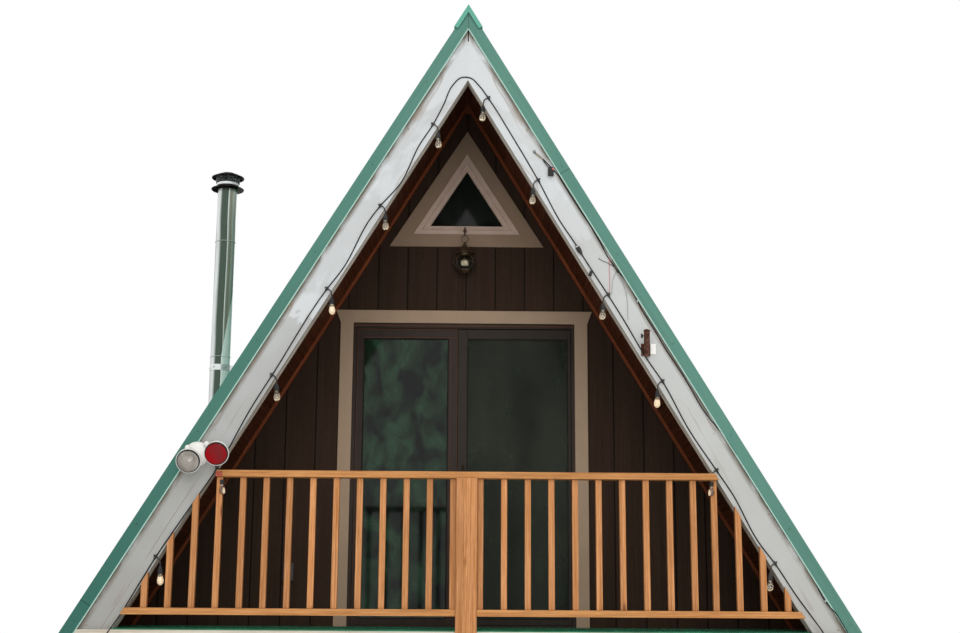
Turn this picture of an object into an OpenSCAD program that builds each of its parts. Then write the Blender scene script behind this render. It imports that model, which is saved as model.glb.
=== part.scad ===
// A-frame cabin with a gable balcony. Millimetres, +Z up, -Y is the balcony end.
// The origin is at ground level, under the middle of the cabin.
// Most modules work from the balcony end's white boards: their face is y = 0 and +y runs inward.

/* [Roof] */
// Slope of both roof planes, in degrees
roof_pitch = 59; // [57:0.5:61]
// Height of the roof planes' meeting line above the ground
ridge_h = 6480; // [6300:10:6700]
// Length of the roof, end board to end board
roof_len = 9144; // [8200:1:10000]
// Height of the eaves above the ground
eave_h = 80; // [60:5:110]
// Thickness of the tongue and groove roof boards
deck_t = 38; // [32:1:45]
// Depth of the rafters, square to the slope
rafter_d = 181; // [140:1:235]
// Thickness of a rafter
rafter_t = 38; // [38:1:64]
// Spacing of the roof sheet's ribs
rib_pitch = 228.6; // [200:0.1:305]
// Height of a rib
rib_h = 19; // [12:1:25]
// Width of the metal edge trim's face
edge_trim_w = 78; // [60:1:100]
// Length of each wing of the ridge cap
cap_wing = 158; // [120:1:200]

/* [Storeys] */
// Height of the upper floor and the balcony boards above the ground
deck_h = 2700; // [2650:10:2800]
// Height of the ground floor
floor_h = 300; // [280:10:320]
// Height of the masonry curb under the walls
curb_h = 150; // [120:10:180]
// Depth of the balcony, white boards to siding
balcony_d = 1395; // [1300:5:1500]
// Overhang of the roof at the back
back_overhang = 434; // [300:1:600]
// Thickness of the end walls
wall_t = 120; // [100:5:150]

/* [Door] */
// Width of the sliding door
door_w = 1524; // [1400:1:1600]
// Height of the sliding door
door_h = 2059; // [2000:1:2100]
// Distance of the door's middle to the right of the cabin's centre line
door_x = -12; // [-60:1:60]
// Width of the flat trim boards
board_w = 89; // [70:1:100]
// Thickness of the flat trim boards
board_t = 19; // [15:1:25]

/* [Gable window] */
// Slope of the window's sides, in degrees
window_pitch = 57.5; // [55:0.5:59]
// Height of the window frame's lower edge above the balcony
window_sill = 2694; // [2600:1:2750]
// Height of the window frame, lower edge to point
window_rise = 590; // [500:1:640]
// Width of the window frame's bars
window_bar = 66; // [50:1:80]

/* [Railing] */
// Height of the top rail's upper face above the balcony
rail_h = 900; // [880:1:950]
// Side of a baluster
baluster_w = 35; // [30:1:38]
// Balusters on each side of the post
balusters_a_side = 14; // [12:1:16]
// Width of the rails, front to back
rail_w = 89; // [80:1:100]
// Thickness of the rails
rail_t = 38; // [35:1:45]
// Width of the post's main timber
post_w = 87; // [80:1:100]

/* [Chimney] */
// Diameter of the flue pipe
flue_d = 148; // [140:1:160]
// Distance of the flue from the cabin's centre line
flue_x = 1880; // [1800:5:1950]
// Distance of the flue behind the white boards
flue_y = 2500; // [2400:5:2600]
// Height of the flue pipe's end above the balcony
flue_top = 3345; // [3200:5:3400]

/* [Lamps] */
// Diameter of a flood lamp over its front ring
lamp_d = 128; // [110:1:130]
// Downward tilt of the flood lamps, in degrees
lamp_tilt = 20; // [10:1:30]
// Diameter of the string light's lead
lead_d = 7; // [6:0.5:8]

/* [Hidden] */
eps = 1;
far = 20000;
tan_p = tan(roof_pitch);
cos_p = cos(roof_pitch);
sin_p = sin(roof_pitch);

// Depths below the roof plane, measured square to it
sheet_t = 3;
skin_t = 2;
sheet_n = -skin_t - rib_h;
boards_n = sheet_n - sheet_t - 2;
rafter_n = boards_n - deck_t;
end_rafter_t = 2 * rafter_t;
inner_n = rafter_n - rafter_d;
barge_n = -13;
barge_t = 19;

// Height of an inward offset of the roof plane over the centre line
function plane_top(n) = ridge_h + n / cos_p;
// Half width between the roof planes offset by n, at a height z
function half_w(n, z) = (plane_top(n) - z) / tan_p;

// The flood lamps reach furthest forward, so they set the middle of the length
lens_y = -164;
front_reach = -lens_y + lamp_d / 2 * sin(lamp_tilt);
lip_out = 12;
cap_over = 20;
back_reach = cap_over;
shift_y = (front_reach - roof_len - back_reach) / 2;

wall_y = balcony_d;
back_y = roof_len - back_overhang;
inside_y = wall_y + wall_t;
inside_end = back_y - wall_t;
curb_w = 400;
joist_d = 184;
plank_t = 38;
floor_t = plank_t + joist_d;
rim_t = 38;
rim_d = 235;
turf_t = 6;

// The railing's planes, along y
rail_front = -57;
post_front = -70;
post_d = 89;
post_left = -46;
strip_w = 34;
post_right = post_left + post_w;
strip_right = post_right + strip_w;
bottom_rail_z = 84;

// Door parts, from the door's middle and its sill
jamb = 24;
left_glass_x = [-689, -105];
right_glass_x = [26, 716];
meeting_x = -40;
glass_z = [60, 1955];
pane_t = 6;

green = "#3f7d6b";
white = "#c9c8c4";
bark = "#2b201b";
taupe = "#75634f";
cedar = "#cb9357";
russet = "#5c2a19";
steel = "#b9bcbc";
bronze = "#2b241c";

// Puts a piece in the frame whose origin is under the cabin's middle
module in_place() {
    translate([0, shift_y, 0]) children();
}

// Draws an outline in x and z, and runs it back from y0 for a length
module run_back(y0, length) {
    translate([0, y0 + length, 0]) rotate([90, 0, 0]) linear_extrude(length) children();
}

// Frame on the right slope: x runs along the ridge, y out of the roof, z down the slope
module on_slope() {
    translate([0, 0, ridge_h]) rotate([0, roof_pitch, 0]) rotate([90, 0, 90]) children();
}

// Outline of one slope's layer between two offsets of the roof plane
module layer(n_out, n_in, z_low, gap = 0) {
    polygon([
        [gap, plane_top(n_out) - gap * tan_p],
        [half_w(n_out, z_low), z_low],
        [half_w(n_in, z_low), z_low],
        [gap, plane_top(n_in) - gap * tan_p]
    ]);
}

// Outline of the space inside an offset of the roof plane, above a height
module under_roof(n, z_low) {
    polygon([[-half_w(n, z_low), z_low], [half_w(n, z_low), z_low], [0, plane_top(n)]]);
}

// Both sides of the centre line
module both_sides() {
    children();
    mirror([1, 0, 0]) children();
}

// Keeps what lies on the right of the centre line
module right_half(gap = 0) {
    difference() {
        children();
        translate([gap - far, -far, -far]) cube([far, 2 * far, 2 * far]);
    }
}

// Round bar between two points
module bar(p, q, d) {
    v = q - p;
    flat = norm([v[0], v[1]]);
    translate(p) rotate([0, atan2(flat, v[2]), atan2(v[1], v[0])]) cylinder(d = d, h = norm(v), $fn = 24);
}

// Flue's own axis, on the left slope
module on_flue() {
    translate([-flue_x, flue_y, 0]) children();
}

// FOUNDATION AND FLOORS
module foundation() {
    outer = half_w(rafter_n, curb_h);
    color("#8f8c86") in_place() {
        both_sides() translate([outer - curb_w, barge_t, 0])
            cube([curb_w, roof_len - 2 * barge_t, curb_h]);
        for (y = [wall_y, back_y - curb_w])
            translate([-outer + curb_w - eps, y, 0])
                cube([2 * (outer - curb_w + eps), curb_w, curb_h]);
    }
}

module ground_floor() {
    half = half_w(inner_n, floor_h) - 3;
    color("#7a6550") in_place()
        translate([-half, inside_y, curb_h]) cube([2 * half, inside_end - inside_y, floor_h - curb_h]);
}

module upper_floor() {
    half = half_w(inner_n, deck_h) - 2;
    color("#7a6550") in_place()
        translate([-half, inside_y, deck_h - floor_t]) cube([2 * half, inside_end - inside_y, floor_t]);
}

// END WALLS
// Outline of the gable window: a triangle set in by some width on all sides
module window_outline(inset) {
    base = window_sill + inset;
    rise = window_rise - inset - inset / cos(window_pitch);
    half = rise / tan(window_pitch);
    translate([0, deck_h]) polygon([[-half, base], [half, base], [0, base + rise]]);
}

module door_hole(sill) {
    translate([door_x - door_w / 2, sill]) square([door_w, door_h]);
}

// Back windows: as wide as the door, at table height on both storeys
back_window_h = 1067;
back_window_sill = 900;
module back_hole(sill, inset = 0) {
    translate([-door_w / 2 + inset, sill + back_window_sill + inset])
        square([door_w - 2 * inset, back_window_h - 2 * inset]);
}

module front_wall() {
    color(bark) in_place() run_back(wall_y, wall_t) difference() {
        under_roof(rafter_n, curb_h);
        door_hole(deck_h);
        door_hole(floor_h);
        window_outline(0);
    }
}

module back_wall() {
    color(bark) in_place() run_back(inside_end, wall_t) difference() {
        under_roof(rafter_n, curb_h);
        back_hole(deck_h);
        back_hole(floor_h);
        window_outline(0);
    }
}

// ROOF
// Hole for the flue through the left slope, as a clear vertical bore
module flue_hole() {
    on_flue() cylinder(d = flue_d + 50, h = ridge_h, $fn = 64);
}

module roof_boards() {
    run_back(0, roof_len) layer(boards_n, rafter_n, eave_h);
}

module roof_boards_left() {
    color(russet) in_place() difference() {
        mirror([1, 0, 0]) roof_boards();
        flue_hole();
    }
}

module roof_boards_right() {
    color(russet) in_place() roof_boards();
}

// Doubled rafters stand behind both white boards, and single ones at about four foot centres inside
bays = 6;
first_rafter = inside_y + 20;
rafter_step = (inside_end - 20 - rafter_t - first_rafter) / bays;
module rafters() {
    for (y = [barge_t, roof_len - barge_t - end_rafter_t])
        run_back(y, end_rafter_t) layer(rafter_n, inner_n, curb_h);
    for (i = [0 : bays])
        run_back(first_rafter + i * rafter_step, rafter_t) layer(rafter_n, inner_n, curb_h);
}

module rafters_left() {
    color(russet) in_place() mirror([1, 0, 0]) rafters();
}

module rafters_right() {
    color(russet) in_place() rafters();
}

// Ribbed sheet: a flat pan with a tapered rib at each step, run down the slope
rib_base = 54;
rib_crown = 20;
ribs = floor((roof_len - rib_pitch) / rib_pitch);
rib_start = (roof_len - ribs * rib_pitch) / 2;
function rib_points(y) = [
    [y - rib_base / 2, sheet_n], [y - rib_crown / 2, -skin_t],
    [y + rib_crown / 2, -skin_t], [y + rib_base / 2, sheet_n]
];
module roof_sheet() {
    slope_len = (plane_top(-skin_t) - eave_h) / sin_p;
    top = [for (i = [0 : ribs]) each rib_points(rib_start + i * rib_pitch)];
    right_half(gap = 2) on_slope() linear_extrude(slope_len) polygon(concat(
        [[2, sheet_n - sheet_t], [2, sheet_n]], top,
        [[roof_len - 2, sheet_n], [roof_len - 2, sheet_n - sheet_t]]
    ));
}

module roof_sheet_left() {
    color(green) in_place() difference() {
        mirror([1, 0, 0]) roof_sheet();
        flue_hole();
    }
}

module roof_sheet_right() {
    color(green) in_place() roof_sheet();
}

// Ridge cap: two wings whose rolled lips lie on the edge trims, with a folded flange across each end
cap_t = 2;
cap_lip = 7;
cap_flange = 26;
module ridge_cap() {
    cap_len = roof_len + 2 * cap_over;
    color(green) in_place() both_sides() right_half() on_slope() {
        translate([-cap_over, cap_lip - cap_t, -cap_wing]) cube([cap_len, cap_t, 2 * cap_wing]);
        translate([-cap_over, cap_lip / 2, cap_wing]) rotate([0, 90, 0])
            cylinder(d = cap_lip, h = cap_len, $fn = 24);
        for (y = [-cap_over, roof_len + cap_over - cap_t])
            translate([y, cap_lip - cap_flange, -cap_wing]) cube([cap_t, cap_flange, 2 * cap_wing]);
    }
}

// Metal edge trim: folded over the sheet's end, with a kicked-out lip below its face
module edge_trim() {
    wing = 90;
    kick = 9;
    right_half(gap = 1) on_slope() translate([0, 0, -200])
        linear_extrude(200 + ridge_h / sin_p - 20)
            polygon([
                [wing, 0], [-3, 0], [-3, -edge_trim_w + kick], [-3 - lip_out, -edge_trim_w + 2],
                [-3 - lip_out, -edge_trim_w], [-lip_out, -edge_trim_w],
                [-3 + skin_t, -edge_trim_w + kick], [-3 + skin_t, -skin_t], [wing, -skin_t]
            ]);
}

module edge_trims() {
    color(green) in_place() difference() {
        both_sides() {
            edge_trim();
            translate([0, roof_len, 0]) mirror([0, 1, 0]) edge_trim();
        }
        translate([-far / 2, -far / 2, eave_h - far]) cube([far, far, far]);
    }
}

// White boards that close the ends of the roof, with an open joint at the point
module barge_boards() {
    color(white) in_place() both_sides() for (y = [0, roof_len - barge_t])
        run_back(y, barge_t) layer(barge_n, inner_n, eave_h, gap = 1);
}

// Thin strip along the joint of wall and soffit, with a small block under the point
strip_t = 18;
module soffit_strip(y0) {
    run_back(y0, strip_t) difference() {
        under_roof(rafter_n, deck_h + turf_t);
        under_roof(rafter_n - 20, deck_h + turf_t - eps);
    }
    translate([-25, y0, plane_top(rafter_n - 20) - 30]) cube([50, strip_t, 30]);
}

module soffit_trim() {
    color("#7c3f24") in_place() {
        soffit_strip(wall_y - strip_t);
        soffit_strip(back_y);
    }
}

// BALCONY
// Joists that stop a joint's width short of the ledger on the wall
joists = 11;
joist_end = 1950;
module deck_joists() {
    ledger_y = balcony_d - plank_t;
    step = 2 * joist_end / (joists - 1);
    color("#8a6a48") in_place() translate([-joist_end - plank_t / 2, 0, deck_h - floor_t]) {
        for (i = [0 : joists - 1])
            translate([i * step, 0, 0]) cube([plank_t, ledger_y - 2, joist_d]);
        translate([0, ledger_y, 0]) cube([2 * joist_end + plank_t, plank_t, joist_d]);
    }
}

// Outline of the balcony floor: narrow between the end rafters, wide behind them
module balcony_outline(front, z) {
    neck = half_w(inner_n, z) - 2;
    wide = half_w(rafter_n, z) - 2;
    end_rafter = barge_t + end_rafter_t;
    translate([-neck, front]) square([2 * neck, end_rafter - front + eps]);
    translate([-wide, end_rafter]) square([2 * wide, balcony_d - end_rafter]);
}

module deck_boards() {
    color("#8a6a48") in_place() translate([0, 0, deck_h - plank_t])
        linear_extrude(plank_t) balcony_outline(0, deck_h);
}

module rim_board() {
    color("#c4bcae") in_place() run_back(-rim_t, rim_t) intersection() {
        under_roof(-edge_trim_w - 4, deck_h - rim_d);
        translate([-far / 2, deck_h - rim_d]) square([far, rim_d]);
    }
}

module turf() {
    color("#1f7a55") in_place() translate([0, 0, deck_h]) linear_extrude(turf_t) difference() {
        balcony_outline(2 - rim_t, deck_h + turf_t);
        translate([post_left, post_front - eps]) square([post_w, post_d + eps]);
        translate([post_left, post_front - eps]) square([post_w + strip_w, strip_w + eps]);
    }
}

// RAILING
// Keeps what lies between the undersides of the end rafters
module between_rafters() {
    intersection() {
        children();
        run_back(-far / 20, far / 10) under_roof(inner_n, 0);
    }
}

module rail(x0, x1, z) {
    translate([x0, rail_front, deck_h + z]) cube([x1 - x0, rail_w, rail_t]);
}

module top_rail() {
    reach = half_w(inner_n, deck_h);
    color(cedar) in_place() between_rafters() rail(-reach, reach, rail_h - rail_t);
}

module bottom_rails() {
    reach = half_w(inner_n, deck_h);
    color(cedar) in_place() between_rafters() {
        rail(-reach, post_left, bottom_rail_z);
        rail(strip_right, reach, bottom_rail_z);
    }
}

module baluster(x) {
    low = bottom_rail_z + rail_t;
    y = rail_front + (rail_w - baluster_w) / 2;
    translate([x - baluster_w / 2, y, deck_h + low]) cube([baluster_w, baluster_w, rail_h - rail_t - low]);
}

// Spacing of the balusters on the left and on the right, where the last few stand nearer
baluster_steps = [134.3, 136.1];
near_from = 10;
near_by = 16;
module balusters() {
    first_left = post_left - 0.5 - baluster_w / 2;
    first_right = strip_right + 0.5 + baluster_w / 2;
    color(cedar) in_place() between_rafters() for (i = [0 : balusters_a_side - 1]) {
        baluster(first_left - i * baluster_steps[0]);
        baluster(first_right + i * baluster_steps[1] - (i < near_from ? 0 : near_by));
    }
}

// Post: its foot is notched over the rim board, and a thin strip stands beside it
module centre_post() {
    top_z = rail_h - rail_t;
    strip_z = deck_h - rim_d + 12;
    color(cedar) in_place() {
        difference() {
            translate([post_left, post_front, deck_h - rim_d]) cube([post_w, post_d, rim_d + top_z]);
            translate([post_left - eps, -rim_t, deck_h - rim_d - eps])
                cube([post_w + 2 * eps, far, rim_d + eps]);
        }
        translate([post_right, post_front, strip_z])
            cube([strip_w, -rim_t - post_front, deck_h + top_z - strip_z]);
    }
}

// DOORS
// Trim round an opening: flat boards, the head board wider than the rest with slanted ends
module board_trim(width, height, head_over = 34) {
    half = width / 2 + board_w;
    both_sides() translate([width / 2, 0]) square([board_w, height]);
    polygon([[-half, height], [half, height], [half + head_over, height + board_w],
             [-half - head_over, height + board_w]]);
}

module door_trim() {
    color(taupe) in_place() run_back(wall_y - board_t, board_t) {
        translate([door_x, deck_h + turf_t]) board_trim(door_w, door_h - turf_t);
        translate([door_x, floor_h]) board_trim(door_w, door_h);
    }
}

// Ring between two rectangles given by their left, right, bottom and top
module ring(a, b) {
    difference() {
        translate([a[0], a[2]]) square([a[1] - a[0], a[3] - a[2]]);
        translate([b[0], b[2]]) square([b[1] - b[0], b[3] - b[2]]);
    }
}

// Outer and inner rectangles of the door's parts
leaf_x = door_w / 2 - jamb;
leaf_z = [20, door_h - 35];
frame_outer = [-door_w / 2, door_w / 2, 0, door_h];
frame_inner = [-leaf_x, leaf_x, leaf_z[0], leaf_z[1]];
left_leaf = [-leaf_x, meeting_x, leaf_z[0], leaf_z[1]];
left_light = [left_glass_x[0], left_glass_x[1], glass_z[0], glass_z[1]];
right_leaf = [meeting_x, leaf_x, leaf_z[0], leaf_z[1]];
right_light = [right_glass_x[0], right_glass_x[1], glass_z[0], glass_z[1]];

module at_doors() {
    for (z = [deck_h, floor_h]) translate([door_x, 0, z]) children();
}

// Frame with its fixed leaf
module door_frame() {
    color("#2c221c") in_place() at_doors() {
        run_back(wall_y - 6, wall_t - 10) ring(frame_outer, frame_inner);
        run_back(wall_y + 12, 34) ring(left_leaf, left_light);
    }
}

// Sliding leaf, behind the fixed one
module door_panel() {
    stile = meeting_x - left_glass_x[1];
    color("#2c221c") in_place() at_doors() run_back(wall_y + 52, 34)
        ring([meeting_x - stile + 4, leaf_x - 1, leaf_z[0] + 1, leaf_z[1] - 1],
             [right_glass_x[0] - stile + 4, right_glass_x[1], glass_z[0], glass_z[1]]);
}

// Insect screen in front of the sliding leaf, on its own track
module door_screen() {
    color("#2c2b26") in_place() at_doors() {
        run_back(wall_y + 12, 18)
            ring([meeting_x + 1, leaf_x - 1, leaf_z[0] + 1, leaf_z[1] - 1], right_light);
        run_back(wall_y + 19, 3) translate([right_glass_x[0] - 2, glass_z[0] - 2])
            square([right_glass_x[1] - right_glass_x[0] + 4, glass_z[1] - glass_z[0] + 4]);
    }
}

module pane(y, x, z) {
    run_back(y, pane_t) translate([x[0], z[0]]) square([x[1] - x[0], z[1] - z[0]]);
}

module door_glass() {
    stile = meeting_x - left_glass_x[1];
    color("#4c5a58", 0.5) in_place() at_doors() {
        pane(wall_y + 26, left_glass_x, glass_z);
        pane(wall_y + 66, [right_glass_x[0] - stile + 4, right_glass_x[1]], glass_z);
    }
}

// Curtain behind the sliding leaf: an even row of folds
fold_n = 9;
fold_out = 22;
module curtain() {
    span = [20, 720];
    steps = fold_n * 8;
    function wave(i) = fold_out * sin(360 * fold_n * i / steps);
    function along(i) = span[0] + (span[1] - span[0]) * i / steps;
    color("#5a5850") in_place() translate([0, inside_y + 60, deck_h + 25])
        linear_extrude(door_h + 30) polygon(concat(
            [for (i = [0 : steps]) [along(i), wave(i)]],
            [for (i = [steps : -1 : 0]) [along(i), wave(i) + 8]]
        ));
}

// WINDOWS
module gable_ring(out, in) {
    difference() {
        window_outline(out);
        window_outline(in);
    }
}

// Trim, frame and glass of the openings in one end wall, told by which side they face
module end_trim(y, back) {
    run_back(y, board_t) {
        gable_ring(-board_w, 0);
        if (back) for (z = [deck_h, floor_h]) translate([0, z + back_window_sill]) {
            board_trim(door_w, back_window_h);
            translate([-door_w / 2 - board_w, -board_w]) square([door_w + 2 * board_w, board_w]);
        }
    }
}

module window_trim() {
    color(taupe) in_place() {
        end_trim(wall_y - board_t, false);
        end_trim(back_y, true);
    }
}

// Stepped wooden frame: an outer bar that stands proud and an inner one set back
step_w = 34;
module end_frame(out_y, in_y, depth, back) {
    run_back(out_y, depth) gable_ring(0, step_w);
    run_back(in_y, depth) gable_ring(step_w - eps, window_bar);
    if (back) for (z = [deck_h, floor_h]) {
        run_back(out_y, depth) difference() {
            back_hole(z);
            back_hole(z, step_w);
        }
        run_back(in_y, depth) {
            difference() {
                back_hole(z, step_w - eps);
                back_hole(z, window_bar);
            }
            translate([-step_w / 2, z + back_window_sill + step_w])
                square([step_w, back_window_h - 2 * step_w]);
        }
    }
}

frame_depth = 70;
module window_frame() {
    color("#8d7765") in_place() {
        end_frame(wall_y - 10, wall_y + 6, frame_depth, false);
        end_frame(back_y + 10 - frame_depth, back_y - 6 - frame_depth, frame_depth, true);
    }
}

module window_glass() {
    color("#39403f", 0.5) in_place() {
        run_back(wall_y + 34, pane_t) window_outline(window_bar);
        run_back(back_y - 34 - pane_t, pane_t) {
            window_outline(window_bar);
            for (z = [deck_h, floor_h]) difference() {
                back_hole(z, window_bar);
                translate([-step_w / 2, z]) square([step_w, far]);
            }
        }
    }
}

// LANTERN
// Onion lantern that hangs on a hook from the gable window's sill: a squat globe in a wire cage
globe_r = 76;
globe_squat = 0.82;
cage_r = 79;
wire = 4;
lantern_x = -12;
lantern_out = 90;
lantern_y = wall_y - 10 - lantern_out;
lantern_z = deck_h + 2466;
hook_z = 252;
module hoop(r, d = wire) {
    rotate_extrude($fn = 48) translate([r, 0]) circle(d = d, $fn = 16);
}

module lantern_cap() {
    rotate_extrude($fn = 48) polygon([
        [0, 150], [6, 149], [10, 140], [14, 126], [26, 112], [42, 102], [55, 97], [56, 92], [50, 90],
        [44, 84], [68, 76], [68, 70], [40, 66], [34, 52], [30, 52], [32, 70], [40, 86], [0, 92]
    ]);
}

module lantern_base() {
    rotate_extrude($fn = 48) polygon([
        [0, -72], [12, -74], [28, -66], [40, -57], [42, -50], [38, -50], [28, -56], [0, -60]
    ]);
}

module lantern_frame() {
    color(bronze) in_place() translate([lantern_x, lantern_y, lantern_z]) {
        lantern_cap();
        lantern_base();
        hoop(cage_r);
        for (a = [45, 135]) rotate([0, 0, a]) rotate([90, 0, 0]) squat_hoop();
        translate([0, 0, 173]) rotate([90, 0, 0]) hoop(24);
        translate([0, 0, hook_z]) hook();
    }
}

// Upright hoop of the cage, as squat as the globe
module squat_hoop() {
    linear_extrude(wire, center = true) difference() {
        scale([1, globe_squat]) circle(r = cage_r + wire / 2, $fn = 64);
        scale([1, globe_squat]) circle(r = cage_r - wire / 2, $fn = 64);
    }
}

// Hook screwed into the window frame, with a shank down to the lantern's ring
module hook() {
    shank = 54;
    rotate([-90, 0, 0]) cylinder(d = 9, h = lantern_out, $fn = 24);
    sphere(d = 11, $fn = 24);
    translate([0, 0, -shank]) cylinder(d = 9, h = shank, $fn = 24);
    translate([0, lantern_out - 3, 0]) rotate([-90, 0, 0]) cylinder(d = 26, h = 3, $fn = 32);
}

module lantern_globe() {
    open_z = 61;
    color("#cfd6cf", 0.4) in_place() translate([lantern_x, lantern_y, lantern_z])
        scale([1, 1, globe_squat]) difference() {
            sphere(r = globe_r, $fn = 48);
            sphere(r = globe_r - 3, $fn = 48);
            for (z = [-far / 2 - open_z, open_z]) translate([-far / 4, -far / 4, z]) cube(far / 2);
        }
}

// FLUE
// Height of the roof's pan at the flue, and of the pipe's joints above the balcony
flue_foot = plane_top(inner_n) - (flue_x - flue_d / 2) * tan_p - 120;
flue_joints = [2001, 2911];
module flue_pipe() {
    color(steel) in_place() on_flue() {
        difference() {
            translate([0, 0, flue_foot]) cylinder(d = flue_d, h = deck_h + flue_top - flue_foot, $fn = 64);
            translate([0, 0, flue_foot - eps])
                cylinder(d = flue_d - 6, h = deck_h + flue_top - flue_foot + 2 * eps, $fn = 64);
        }
        for (z = flue_joints) translate([0, 0, deck_h + z]) rotate_extrude($fn = 64)
            translate([flue_d / 2 - 1, 0]) circle(d = 8, $fn = 16);
    }
}

// Rain cap: a shallow dome on a slotted drum, over an open dish; both rims are rolled
cap_r = 122;
cap_bead = 9;
drum_r = 90;
drum_z = 43;
drum_h = 63;
drum_slots = 12;
slot_w = 38;
dish_z = -6;
dome_z = 87;
module flue_cap() {
    pipe_r = flue_d / 2;
    sleeve_r = pipe_r + 4;
    color("#8f8d8a") in_place() on_flue() translate([0, 0, deck_h + flue_top]) {
        for (z = [dish_z, dome_z]) translate([0, 0, z]) hoop(cap_r, cap_bead);
        rotate_extrude($fn = 64) polygon([
            [0, dome_z + 46], [50, dome_z + 38], [96, dome_z + 18], [cap_r, dome_z + 2], [cap_r, dome_z - 1],
            [96, dome_z + 15], [50, dome_z + 35], [0, dome_z + 43]
        ]);
        rotate_extrude($fn = 64) polygon([
            [pipe_r, dish_z - 6], [sleeve_r, dish_z - 6], [sleeve_r, dish_z + 24], [cap_r, dish_z - 1],
            [cap_r, dish_z + 2], [sleeve_r, dish_z + 27], [sleeve_r, drum_z - 2], [drum_r, drum_z - 2],
            [drum_r, drum_z + 2], [pipe_r, drum_z + 2]
        ]);
        difference() {
            translate([0, 0, drum_z]) rotate_extrude($fn = 64) translate([drum_r - 3, 0]) square([3, drum_h]);
            for (i = [0 : drum_slots - 1]) rotate([0, 0, i * 360 / drum_slots])
                translate([drum_r - 12, -slot_w / 2, drum_z + 7]) cube([24, slot_w, 36]);
        }
    }
}

// Clamp band with two struts up to the roof sheet
brace_z = 1917;
brace_spread = 260;
module flue_brace() {
    z = deck_h + brace_z;
    foot_x = half_w(0, z + 60) - 2;
    color(steel) in_place() {
        on_flue() translate([0, 0, z - 22]) difference() {
            cylinder(d = flue_d + 8, h = 45, $fn = 64);
            translate([0, 0, -eps]) cylinder(d = flue_d, h = 50, $fn = 64);
        }
        translate([-flue_x + flue_d / 2 + 2, flue_y - 4, z - 22]) cube([40, 8, 45]);
        for (s = [-1, 1]) {
            bar([-flue_x + flue_d / 2 + 34, flue_y, z], [-foot_x, flue_y + s * brace_spread, z + 60], 20);
            translate([-foot_x, flue_y + s * brace_spread, z + 60]) rotate([0, -roof_pitch, 0])
                translate([-45, -30, -4]) cube([90, 60, 5]);
        }
    }
}

// Flashing: a plate on the ribs and an upright cone round the pipe, with a storm collar
module flue_flashing() {
    crossing = plane_top(0) - flue_x * tan_p;
    collar_z = crossing + 420;
    color("#a9adac") in_place() difference() {
        union() {
            mirror([1, 0, 0]) on_slope()
                translate([flue_y - 230, 0, flue_x / cos_p - 330]) cube([460, 3, 640]);
            on_flue() translate([0, 0, crossing - 320])
                cylinder(d1 = 400, d2 = flue_d + 8, h = 700, $fn = 64);
            on_flue() translate([0, 0, collar_z])
                cylinder(d1 = flue_d + 110, d2 = flue_d + 4, h = 45, $fn = 64);
        }
        on_flue() translate([0, 0, crossing - 700]) cylinder(d = flue_d + 1, h = 1600, $fn = 64);
        inside_left_slope();
    }
}

// Everything below the ribs of the left slope
module inside_left_slope() {
    reach = far / 4;
    mirror([1, 0, 0]) run_back(0, roof_len) polygon([
        [-reach, -reach], [-reach, plane_top(0) + reach * tan_p], [half_w(0, -reach), -reach]
    ]);
}

// FLOOD LAMPS
lens_r = lamp_d / 2;
holder_z = deck_h + 994;
lens_x = [-1570, -1413];
lens_z = [deck_h + 935, deck_h + 979];
plate_x = -1551;
plate_r = 72;
// Places of the swivel knuckles on the round plate: x and height
knuckles = [[-1600, deck_h + 1028], [-1492, deck_h + 1050]];
// Frame along a lamp's axis: z runs out through the lens
module on_lamp(i) {
    translate([lens_x[i], lens_y, lens_z[i]]) rotate([90 + lamp_tilt, 0, 0]) children();
}

lamp_len = 96;
cup_r = 71;
cup_back = -lamp_len - 46;
cup_floor = 14;
module lamp_cup() {
    rotate_extrude($fn = 48) polygon([
        [0, cup_back], [20, cup_back], [34, cup_back + 10], [44, -92], [cup_r - 3, -36], [cup_r, -28],
        [cup_r, -9], [cup_r - 3, -9], [cup_r - 3, -27], [cup_r - 6, -34], [41, -90],
        [31, cup_back + cup_floor], [0, cup_back + cup_floor]
    ]);
}

module flood_holder() {
    color("#e8e6e0") in_place() {
        translate([plate_x, 0, holder_z]) rotate([90, 0, 0]) rotate_extrude($fn = 48)
            polygon([[0, 0], [plate_r, 0], [plate_r, 9], [plate_r - 14, 20], [0, 24]]);
        for (i = [0, 1]) {
            hub = [knuckles[i][0], -34, knuckles[i][1]];
            in = -cup_back - cup_floor / 2;
            back = [lens_x[i], lens_y + in * cos(lamp_tilt), lens_z[i] + in * sin(lamp_tilt)];
            on_lamp(i) lamp_cup();
            translate(hub) sphere(d = 34, $fn = 32);
            bar([hub[0], -16, hub[2]], hub, 24);
            bar(hub, back, 20);
        }
    }
}

module flood_lamps() {
    color("#b9c4c6") in_place() for (i = [0, 1]) on_lamp(i) rotate_extrude($fn = 48) polygon([
        [0, cup_back + cup_floor], [14, cup_back + cup_floor], [16, 4 - lamp_len], [24, 14 - lamp_len],
        [44, -54], [lens_r - 6, -18], [lens_r, -12], [lens_r, 0], [lens_r - 7, 3], [30, 7], [0, 9]
    ]);
}

// FITTINGS
// Flagpole socket: a tube tilted forward on a folded plate, with a wing screw through its side
socket_foot = [1068, -20, deck_h + 1594];
socket_mouth = [1055, -128, deck_h + 1721];
// Turns local z from straight up to the way from p to q
module along(p, q) {
    v = q - p;
    flat = norm([v[0], v[1]]);
    translate(p) rotate([0, atan2(flat, v[2]), atan2(v[1], v[0])]) children();
}

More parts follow.
